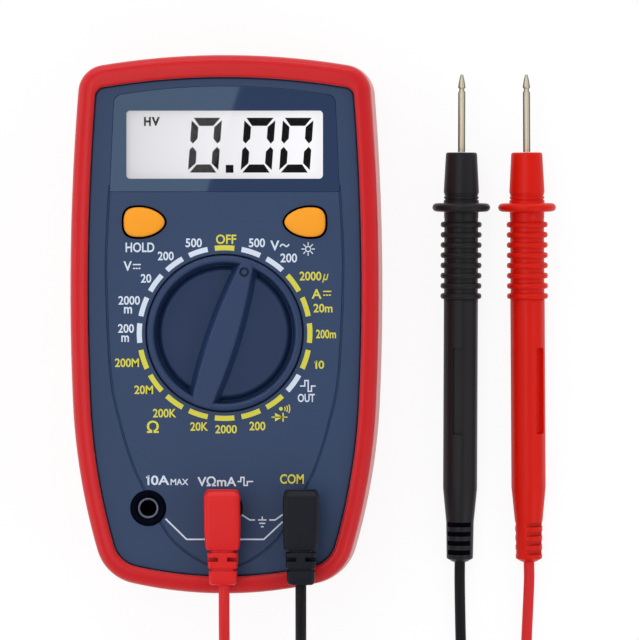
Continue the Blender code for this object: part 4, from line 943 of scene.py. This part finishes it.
def hole(outline, low, fillet):
    """Cutter for an opening in the face whose rim is rounded."""
    rows = [(0.0, low)] + [(inset, FACE_HEIGHT - drop) for inset, drop in quarter(fillet, 4)]
    return stacked(outline, rows + [(fillet, FACE_HEIGHT + 2.0)])


def groove_line():
    """Line of the soft groove that runs down from the display, round the dial and under the jacks."""
    half = [(27.2, 33.0), (27.6, 27.0), (28.1, 12.0), (27.0, -12.0), (24.6, -24.0), (22.0, -32.6)]
    half += [(19.6, -38.0), (14.2, -48.6), (10.0, -53.3), (4.5, -56.7), (0.0, -57.3)]
    rest = [(-x, y) for x, y in reversed(half[:-1])]
    return smooth_route([(x * MM, y * MM, FACE - GROOVE_DEPTH) for x, y in half + rest], GROOVE_STEP)


def make_front_case():
    """Front shell with its shoulder, rounded face edge, openings and the soft groove round the dial."""
    low = FACE_UNDER / MM
    section = [(4.5, low), (4.5, 15.3), (2.5, 15.3), (2.5, 30.3), (5.38, 30.3, END_DROP)]
    section += [(5.38 + inset, FACE_HEIGHT - drop, END_DROP) for inset, drop in quarter(0.35, 4)]
    case = into_object("case_front", case_loft(section), BLUE, 35.0)
    low -= 1.0
    cuts = [hole(lens_outline, FACE_HEIGHT - 1.7, 0.06)]
    cuts.append(box(-WINDOW_HALF, WINDOW_HALF, WINDOW_LOW, WINDOW_HIGH, low * MM, FACE))
    cuts.append(hole(lambda grow: circle(0.0, KNOB_Y, KNOB_HOLE + grow, 128), low, 0.2))
    for sign in (-1.0, 1.0):
        cuts.append(hole(lambda grow, side=sign: button_outline(side, BUTTON_GAP + grow), low, 0.06))
    for x in (-JACK_X, 0.0, JACK_X):
        cuts.append(hole(lambda grow, place=x: circle(place, JACK_Y, JACK_HOLE + grow, 64), low, 0.1))
    cuts.append(tube_along(groove_line(), GROOVE_RADIUS))
    combine(case, cuts, "DIFFERENCE", 35.0)
    flat_normals(case)
    show(case, "meter", "front_case", slot="blue_plastic")


# Display

SEGMENT_LOW = 0.02872
SEGMENT_HIGH = 0.02876
DIGIT_LOW = 36.02
DIGIT_HIGH = 49.04
DIGIT_SLANT = 0.073


def make_lens():
    """Printed panel with a clear window, flush in the face."""
    top = FACE_HEIGHT - 0.02
    rows = [(-0.05, FACE_HEIGHT - 1.4), (-0.05, top - 0.1), (-0.08, top - 0.02), (-0.15, top)]
    panel = into_object("lens_panel", stacked(lens_outline, rows), LENS_PRINT, 35.0)
    combine(panel, [prism(window_outline(0.0), FACE - 2.0 * MM, FACE + MM)], "DIFFERENCE", 35.0)
    flat_normals(panel)
    show(panel, "meter", "lcd_lens", slot="lens")
    pane = prism(window_outline(WINDOW_GAP), FACE - 1.3 * MM, (top - 0.01) * MM)
    show(into_object("lens_window", pane, LENS_CLEAR, 35.0), "meter", slot="lens")


def digit_shapes(left, right):
    """Slanted seven-segment nought between the given limits, with pointed waists."""
    tall = DIGIT_HIGH - DIGIT_LOW
    lean = tall * DIGIT_SLANT
    width = right - left - lean
    middle = tall / 2.0
    bar = [(0.44, tall), (width - 0.44, tall), (width - 1.93, tall - 1.93), (1.93, tall - 1.93)]
    side = [(0.0, tall - 0.61), (0.0, middle + 1.12), (0.68, middle + 0.37), (1.70, middle + 1.56)]
    side.append((1.70, tall - 2.21))
    made = []
    for flip in (False, True):
        for shape in (bar, side, [(width - x, y) for x, y in side]):
            rows = [(x, tall - y) if flip else (x, y) for x, y in shape]
            made.append([((left + x + lean * y / tall) * MM, (DIGIT_LOW + y) * MM) for x, y in rows])
    return made


def make_digits():
    """0.00 with the high voltage sign, dark on the pale display."""
    shapes = [rectangle(0.23 * MM, 2.06 * MM, 35.97 * MM, 37.85 * MM)]
    for left, right in ((-8.77, -0.64), (3.75, 12.05), (12.88, 21.10)):
        shapes += digit_shapes(left, right)
    marks = [prism(shape, SEGMENT_LOW, SEGMENT_HIGH) for shape in shapes]
    for letter, left, right in (("H", -19.20, -17.55), ("V", -17.40, -15.40)):
        marks.append(letters(letter, left, right, 47.09, 49.23, SEGMENT_LOW, SEGMENT_HIGH, weight=0.045))
    show(into_object("lcd_segments", joined(marks), SEGMENT, 30.0), "meter", slot="lcd_glass")


# Buttons, knob and jacks

KNOB_SPIN = Matrix.Translation((0.0, KNOB_Y, 0.0)) @ Matrix.Rotation(KNOB_ANGLE, 4, "Z")
POINTER_DOT_Y = 0.0152
GLOSS_AND_LIGHT_HEIGHT = 0.0317
SKIRT_SHADE_TOP = 0.0310

# Millimetres on the outline of the grip bar
GRIP_REACH = 18.0
GRIP_TAIL_HALF = 2.45
GRIP_POINTER_HALF = 1.45
GRIP_BULGE = 1.22
GRIP_FULLNESS = 0.9


def make_buttons():
    """Two soft buttons with a gently domed top over a straight skirt; the skirt below the face is painted
    near-black as shade in the gap round each button.
    """
    rows = [(0.8, 27.5), (0.8, 28.7), (-0.1, 28.7), (-0.1, 31.6), (-0.12, 31.75), (-0.18, 31.95)]
    rows += [(-0.32, 32.12), (-0.55, 32.26), (-0.95, 32.37), (-1.5, 32.44), (-2.2, 32.48), (-2.9, 32.5)]
    for name, sign in (("hold", -1.0), ("light", 1.0)):
        cap = stacked(lambda grow, side=sign: button_outline(side, grow), rows)
        button = into_object(f"{name}_cap", cap, ORANGE, 45.0)
        stem = turned([(1.5, 24.6), (1.5, 27.9)], sign * BUTTON_X, STEM_Y, 32)
        combine(button, [stem], "UNION", 45.0)
        # Painted shade: below the face the skirt takes the near-black collar finish.
        second_finish_or_paint(button, BLACK_COLLAR_AND_SHADE, lambda centre: centre.z < SKIRT_SHADE_TOP)
        show(button, f"{name}_button", f"{name}_button", slot="orange_rubber")


def make_domes():
    """Steel snap domes on the board, under the button stems."""
    profile = [(2.4, 0.0), (2.35, 0.3), (2.0, 1.0), (1.6, 1.35), (1.1, 1.52), (0.5, 1.59)]
    for name in ("hold", "light"):
        x, y, low = foot_place(f"{name}_dome")
        shape = turned([(radius, low / MM + height) for radius, height in profile], x, y, 40)
        dome = into_object(f"{name}_snap_dome", shape, STEEL, 50.0)
        show(dome, "meter", f"{name}_dome", slot="steel")
        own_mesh(dome)


def grip_outline(grow):
    """Lens-shaped grip bar: narrow pointer end, full middle and blunt tail."""
    right = []
    for step in range(25):
        share = step / 24.0
        foot = GRIP_TAIL_HALF + (GRIP_POINTER_HALF - GRIP_TAIL_HALF) * share
        bulge = GRIP_BULGE * math.sin(math.pi * share) ** GRIP_FULLNESS
        right.append(((foot + bulge) * MM + grow, GRIP_REACH * (2.0 * share - 1.0) * MM))
    return right + [(-x, y) for x, y in reversed(right)]


def make_knob():
    """Dished knob with a rolled rim, a scooped floor and a grip bar that runs into the rim."""
    profile = [(12.5, 28.9), (14.5, 29.1), (14.9, 29.05), (15.15, 28.88), (15.4, 28.5), (15.7, 27.95)]
    profile += [(16.0, 27.55), (16.25, 27.5), (16.4, 28.3), (16.54, 29.8), (16.68, 31.2), (16.82, 31.8)]
    profile += [(17.05, 32.08), (17.4, 32.18), (17.8, 32.1), (18.15, 31.9), (18.38, 31.55), (18.45, 31.1)]
    profile += [(18.45, 28.7), (19.75, 28.7), (19.75, 24.3)]
    knob = into_object("dial_knob", turned(profile, 0.0, KNOB_Y, 160), KNOB_BLUE)
    rows = [(1.5, 25.2), (1.35, 28.4), (1.05, 29.1), (0.65, 30.0), (0.32, 30.9), (0.08, 31.6), (-0.08, 31.95)]
    rows += [(-0.28, 32.2), (-0.55, 32.3)]
    combine(knob, [placed(stacked(grip_outline, rows), KNOB_SPIN)], "UNION")
    dot = turned([(0.66, 31.4), (1.14, 31.4), (1.2, 33.0), (0.6, 33.0)], 0.0, POINTER_DOT_Y, 40, ring=True)
    combine(knob, [placed(dot, KNOB_SPIN)], "DIFFERENCE")
    # Faces above this height, the crests of the rim and grip bar, get a glossier finish and a lighter blue as
    # painted light.
    second_finish_or_paint(knob, KNOB_TOP_GLOSS_AND_LIGHT, lambda centre: centre.z > GLOSS_AND_LIGHT_HEIGHT)
    flat_normals(knob)
    show(knob, "selector", "selector_knob", slot="knob_plastic")


def make_jacks():
    """Metal tubes with a turned mouth, each in a black collar with a rounded lip."""
    tube = [(2.15, 10.4), (2.5, 10.4), (2.5, 30.78), (2.4, 30.88), (2.25, 30.9), (2.1, 30.88), (1.96, 30.74)]
    tube += [(1.94, 30.5), (1.94, 29.4), (2.15, 28.8)]
    collar = [(2.8, 25.6), (4.1, 25.6), (4.1, 27.1), (5.3, 27.1), (5.3, 28.7), (4.1, 28.7), (4.1, 31.3)]
    collar += [(4.02, 31.5), (3.85, 31.6), (3.3, 31.6), (3.05, 31.5), (2.8, 31.2), (2.62, 30.9)]
    collar += [(2.6, 30.5), (2.8, 30.3)]
    for name, x in (("current", -JACK_X), ("volt", 0.0), ("common", JACK_X)):
        piece = into_object(f"{name}_tube", turned(tube, x, JACK_Y, 64, ring=True), NICKEL)
        show(piece, "meter", f"jack_{name}", slot="steel")
        piece = into_object(f"{name}_collar", turned(collar, x, JACK_Y, 64, ring=True), BLACK_COLLAR_AND_SHADE)
        show(piece, "meter", f"jack_collar_{name}", slot="black_plastic")


# Printed dial

PRINT_LOW = FACE + 0.004 * MM
PRINT_HIGH = FACE + 0.03 * MM
LINE = 0.3
LEAST_MITRE = 0.4
TICK_NEAR = 19.62
TICK_FAR = 20.84
TICK_HALF_TURN = math.asin(2.31 / 20.2)
POSITIONS = 20
WHITE_TICKS = (1, 2, 7, 15, 16, 17, 18, 19)
LAMP = (19.8, 17.83)
BUZZER = (13.3, -20.05)
BUZZER_TURN = math.radians(27.0)
EARTH_X = 8.93

# Words with their left, right, lower and upper limits on the face
WHITE_WORDS = [
    ("HOLD", -23.47, -16.65, 17.05, 19.38), ("V", -23.97, -21.98, 12.62, 14.92),
    ("200", -15.84, -12.05, 15.13, 17.22), ("500", -9.25, -5.38, 18.24, 20.35),
    ("20", -19.85, -17.38, 9.82, 11.91), ("2000", -25.18, -20.06, 4.60, 6.69),
    ("m", -23.85, -21.93, 2.54, 4.11), ("200", -25.25, -21.48, -2.06, 0.05),
    ("m", -24.49, -22.67, -4.19, -2.65), ("500", 5.74, 9.58, 18.24, 20.35),
    ("V", 10.83, 12.99, 17.45, 19.83), ("200", 13.23, 17.19, 14.63, 16.77),
    ("OUT", 17.35, 21.39, -18.47, -16.50), ("0A", -17.44, -13.10, -38.12, -35.85),
    ("MAX", -12.80, -8.58, -38.12, -36.65), ("VΩmA", -6.43, 2.77, -38.43, -36.06),
]
YELLOW_WORDS = [
    ("OFF", -2.04, 2.77, 19.02, 21.27), ("2000", 17.78, 22.93, 10.34, 12.48),
    ("A", 20.63, 23.00, 6.03, 8.35), ("20m", 21.08, 25.58, 2.78, 4.84),
    ("200m", 21.67, 26.41, -3.36, -1.28), ("0", 22.25, 23.6, -10.57, -8.63),
    ("200", 5.88, 9.67, -25.18, -23.09), ("2000", -2.21, 2.92, -25.89, -23.90),
    ("20K", -8.13, -3.91, -25.29, -23.21), ("Ω", -18.42, -15.60, -25.77, -22.85),
    ("200K", -17.00, -11.45, -22.12, -20.05), ("20M", -21.39, -16.95, -16.57, -14.51),
    ("200M", -25.99, -20.30, -10.17, -8.10), ("COM", 13.13, 18.78, -37.84, -35.54),
]


def letters(text, left, right, low, high, under=PRINT_LOW, over=PRINT_HIGH, weight=0.02, slant=0.0):
    """Lettering filled into a box on the face."""
    data = bpy.data.curves.new("letters", "FONT")
    data.body = text
    data.extrude = 0.01
    data.offset = weight
    data.shear = slant
    data.resolution_u = 4
    item = bpy.data.objects.new("letters", data)
    scene.collection.objects.link(item)
    shape = baked(item)
    bpy.data.objects.remove(item, do_unlink=True)
    bpy.data.curves.remove(data)
    mesh = bmesh.new()
    mesh.from_mesh(shape)
    bpy.data.meshes.remove(shape)
    bmesh.ops.remove_doubles(mesh, verts=mesh.verts[:], dist=0.0001)
    xs = [vert.co.x for vert in mesh.verts]
    ys = [vert.co.y for vert in mesh.verts]
    wide = (right - left) * MM / (max(xs) - min(xs))
    tall = (high - low) * MM / (max(ys) - min(ys))
    for vert in mesh.verts:
        vert.co.x = left * MM + (vert.co.x - min(xs)) * wide
        vert.co.y = low * MM + (vert.co.y - min(ys)) * tall
        vert.co.z = over if vert.co.z > 0.0 else under
    return mesh


def printed(outline):
    """Flat mark on the face."""
    return prism([(x * MM, y * MM) for x, y in outline], PRINT_LOW, PRINT_HIGH)


def stroke(points, width=LINE):
    """Line of even width on the face with mitred corners."""
    rows = [Vector(point) for point in points]
    legs = [(after - here).normalized() for here, after in zip(rows, rows[1:])]
    left = []
    right = []
    for here, first, second in zip(rows, legs[:1] + legs, legs + legs[-1:]):
        normal = (first + second).orthogonal().normalized()
        reach = width / 2.0 / max(LEAST_MITRE, normal.dot(first.orthogonal()))
        left.append(here + normal * reach)
        right.append(here - normal * reach)
    return printed([tuple(point) for point in left + list(reversed(right))])


def figure_one(left, right, low, high):
    """Figure 1 as a stem with a short flag."""
    thick = 0.42
    stem = right - thick / 2.0
    fall = (high - low) * 0.2
    flag = stroke([(stem, high - 0.2), (left + 0.15, high - fall - 0.1)], 0.34)
    return joined([stroke([(stem, low), (stem, high)], thick), flag])


def square_wave(places, middle, top, low):
    """One period of a square wave, whose edges are at five places."""
    start, rise, fall, back, end = places
    points = [(start, middle), (rise, middle), (rise, top), (fall, top), (fall, low), (back, low)]
    return stroke(points + [(back, middle), (end, middle)])


def direct_sign(left, right, high, low):
    """Sign of direct current: a line over three dashes."""
    made = [stroke([(left, high), (right, high)])]
    third = (right - left) / 3.0
    for number in range(3):
        start = left + third * number
        made.append(stroke([(start + 0.06, low), (start + third - 0.1, low)]))
    return made


def tick(number):
    """Bar beside one knob position, counted clockwise from the top."""
    angle = 2.0 * math.pi * number / POSITIONS
    shares = (-1.0, -0.5, 0.0, 0.5, 1.0)
    outline = []
    for radius, row in ((TICK_FAR, shares), (TICK_NEAR, tuple(reversed(shares)))):
        for share in row:
            here = angle + share * TICK_HALF_TURN
            outline.append((radius * math.sin(here), KNOB_Y / MM + radius * math.cos(here)))
    return printed(outline)


def backlight_sign():
    """Lamp with eight rays."""
    made = [stroke(arc(LAMP, 0.62, 0.0, math.radians(350.0), 30), 0.26)]
    for number in range(8):
        angle = math.pi * number / 4.0
        made.append(stroke([arc(LAMP, reach, angle, angle, 1)[0] for reach in (0.86, 1.6)], 0.24))
    return made


def jack_lines():
    """Lines that join the jacks, and the earth sign between them."""
    made = [stroke([(-14.0, -46.1), (-9.0, -51.0), (9.3, -51.0), (13.8, -46.8)], 0.36)]
    made.append(stroke([(4.1, -45.2), (6.0, -46.4), (7.2, -46.4)], 0.34))
    made.append(stroke([(10.6, -46.4), (12.0, -46.4), (13.8, -45.1)], 0.34))
    made.append(stroke([(EARTH_X, -45.6), (EARTH_X, -46.25)]))
    for half, y in ((1.0, -46.4), (0.72, -47.2), (0.32, -48.0)):
        made.append(stroke([(EARTH_X - half, y), (EARTH_X + half, y)], 0.32))
    return made


def continuity_sign():
    """Sounding dot over the diode sign."""
    made = [printed(circle(BUZZER[0] + 0.05, BUZZER[1], 0.45, 24))]
    made += [stroke(arc(BUZZER, radius, -BUZZER_TURN, BUZZER_TURN, 10), 0.26) for radius in (1.05, 1.6, 2.15)]
    made.append(stroke([(11.12, -22.02), (14.91, -22.02)], 0.24))
    made.append(printed([(11.95, -23.05), (13.73, -22.02), (11.95, -21.0)]))
    made.append(stroke([(13.86, -23.1), (13.86, -20.98)]))
    return made


def make_print():
    """White and yellow printing of the dial, signs and jack labels."""
    white = [letters(*word) for word in WHITE_WORDS] + [tick(number) for number in WHITE_TICKS]
    white.append(figure_one(-18.75, -17.85, -38.12, -35.85))
    white += direct_sign(-21.77, -19.85, 14.14, 13.23)
    wave = [(13.13, 18.35), (13.4, 18.75), (13.7, 18.95), (14.0, 18.88), (14.45, 18.5), (14.75, 18.42)]
    white.append(stroke(wave + [(15.05, 18.62), (15.29, 19.0)], 0.32))
    white.append(square_wave((17.88, 19.02, 19.82, 20.6, 21.58), -14.65, -13.35, -15.9))
    white.append(square_wave((3.06, 3.85, 4.6, 5.4, 6.76), -37.29, -36.3, -38.2))
    white += backlight_sign() + jack_lines()
    show(into_object("white_legend", joined(white), WHITE_PRINT, 30.0), "meter", slot="white_plastic")
    others = [number for number in range(POSITIONS) if number not in WHITE_TICKS]
    yellow = [letters(*word) for word in YELLOW_WORDS] + [tick(number) for number in others]
    yellow.append(figure_one(21.2, 21.95, -10.57, -8.63))
    yellow.append(letters("µ", 23.14, 24.62, 9.89, 11.91, weight=0.005, slant=0.3))
    yellow += direct_sign(23.33, 25.3, 7.78, 6.9) + continuity_sign()
    show(into_object("yellow_legend", joined(yellow), YELLOW_PRINT, 30.0), "meter", slot="white_plastic")


# Back of the case

DOOR_HALF = 0.02725
DOOR_LOW = -0.03425
DOOR_HIGH = -0.00175
DOOR_CORNER = 0.0020
TAB_HALF = 0.0050
TAB_END = -0.04225
BATTERY_WINDOW = (-0.02455, 0.02455, -0.03155, -0.00445)
FINGER_GROOVES = 5
FINGER_GROOVE_RADIUS = 0.0006


def door_outline(grow):
    """Battery door with a screw tab towards the jacks."""
    half = DOOR_HALF + grow
    low = DOOR_LOW - grow
    tab = TAB_HALF + grow
    tip = TAB_END - grow
    body = rounded(rectangle(-half, half, low, DOOR_HIGH + grow), DOOR_CORNER, 8)
    end = [(-tab, low), (-tab, tip), (tab, tip), (tab, low)]
    split = len(body) // 4
    return body[:split] + end + body[split:]


def screw_places():
    return [foot_place(f"case_screw_{number}")[:2] for number in range(1, 5)]


def make_rear_case():
    """Rear shell with rounded edges, screw recesses and the opening for the battery and its door."""
    section = [(6.3, 3.6), (4.5, 5.4), (4.5, 15.0), (2.5, 15.0), (2.5, 2.3), (4.3, 2.3), (4.3, 0.5)]
    section += [(4.36, 0.2), (4.5, 0.05), (4.8, 0.0)]
    case = into_object("case_rear", case_loft(section), BLUE, 35.0)
    recess = [(3.1, -0.5), (3.1, 0.0), (2.8, 0.3), (2.8, 2.7)]
    cuts = [joined([turned(recess, x, y, 40) for x, y in screw_places()])]
    cuts.append(stacked(door_outline, [(0.5, -0.5), (0.5, 0.0), (0.3, 0.2), (0.3, 2.6)]))
    cuts.append(box(*BATTERY_WINDOW, -MM, 5.0 * MM))
    combine(case, cuts, "DIFFERENCE", 35.0)
    flat_normals(case)
    show(case, "meter", "rear_case", slot="blue_plastic")


def make_door():
    """Battery door with softened edges and a row of finger grooves."""
    cover = stacked(door_outline, [(-0.35, 0.3), (-0.1, 0.38), (0.0, 0.6), (0.0, 2.3)])
    door = into_object("door_cover", cover, BLUE, 35.0)
    recess = [(3.0, 0.0), (3.0, 0.3), (2.8, 0.5), (2.8, 1.6), (1.7, 1.6), (1.7, 3.0)]
    cuts = [turned(recess, 0.0, DOOR_SCREW_Y, 40)]
    for number in range(FINGER_GROOVES):
        y = (-8.0 - 2.0 * number) * MM
        line = [Vector((x * MM, y, 0.05 * MM)) for x in (-9.0, -4.0, 0.0, 4.0, 9.0)]
        cuts.append(tube_along(line, FINGER_GROOVE_RADIUS))
    combine(door, [joined(cuts)], "DIFFERENCE", 35.0)
    flat_normals(door)
    show(door, "battery_door", "battery_door", slot="blue_plastic")


def make_screw(name, body, node, x, y, low, head, tip):
    """Pan head with a cross recess, facing down."""
    neck = low + head
    profile = [(1.5, low), (2.1, low + 0.1), (2.4, low + 0.32), (2.5, low + 0.6), (2.5, neck), (1.4, neck)]
    profile += [(1.4, tip - 1.4), (0.6, tip)]
    piece = into_object(name, turned(profile, x, y, 40), STEEL, 35.0)
    long = 1.5 * MM
    thin = 0.28 * MM
    for wide, tall in ((long, thin), (thin, long)):
        cut = box(x - wide, x + wide, y - tall, y + tall, (low - 0.5) * MM, (low + 0.55) * MM)
        combine(piece, [cut], "DIFFERENCE", 35.0)
    show(piece, body, node, slot="steel")


def make_screws():
    for number, (x, y) in enumerate(screw_places(), start=1):
        node = f"case_screw_{number}"
        make_screw(f"case_fixing_{number}", "meter", node, x, y, low=0.6, head=1.8, tip=26.7)
    node = "battery_door_screw"
    make_screw("door_fixing", "battery_door", node, 0.0, DOOR_SCREW_Y, low=0.3, head=1.0, tip=7.3)


make_leads()
make_holster()
make_front_case()
make_lens()
make_digits()
make_buttons()
make_domes()
make_knob()
make_jacks()
make_print()
make_rear_case()
make_door()
make_screws()
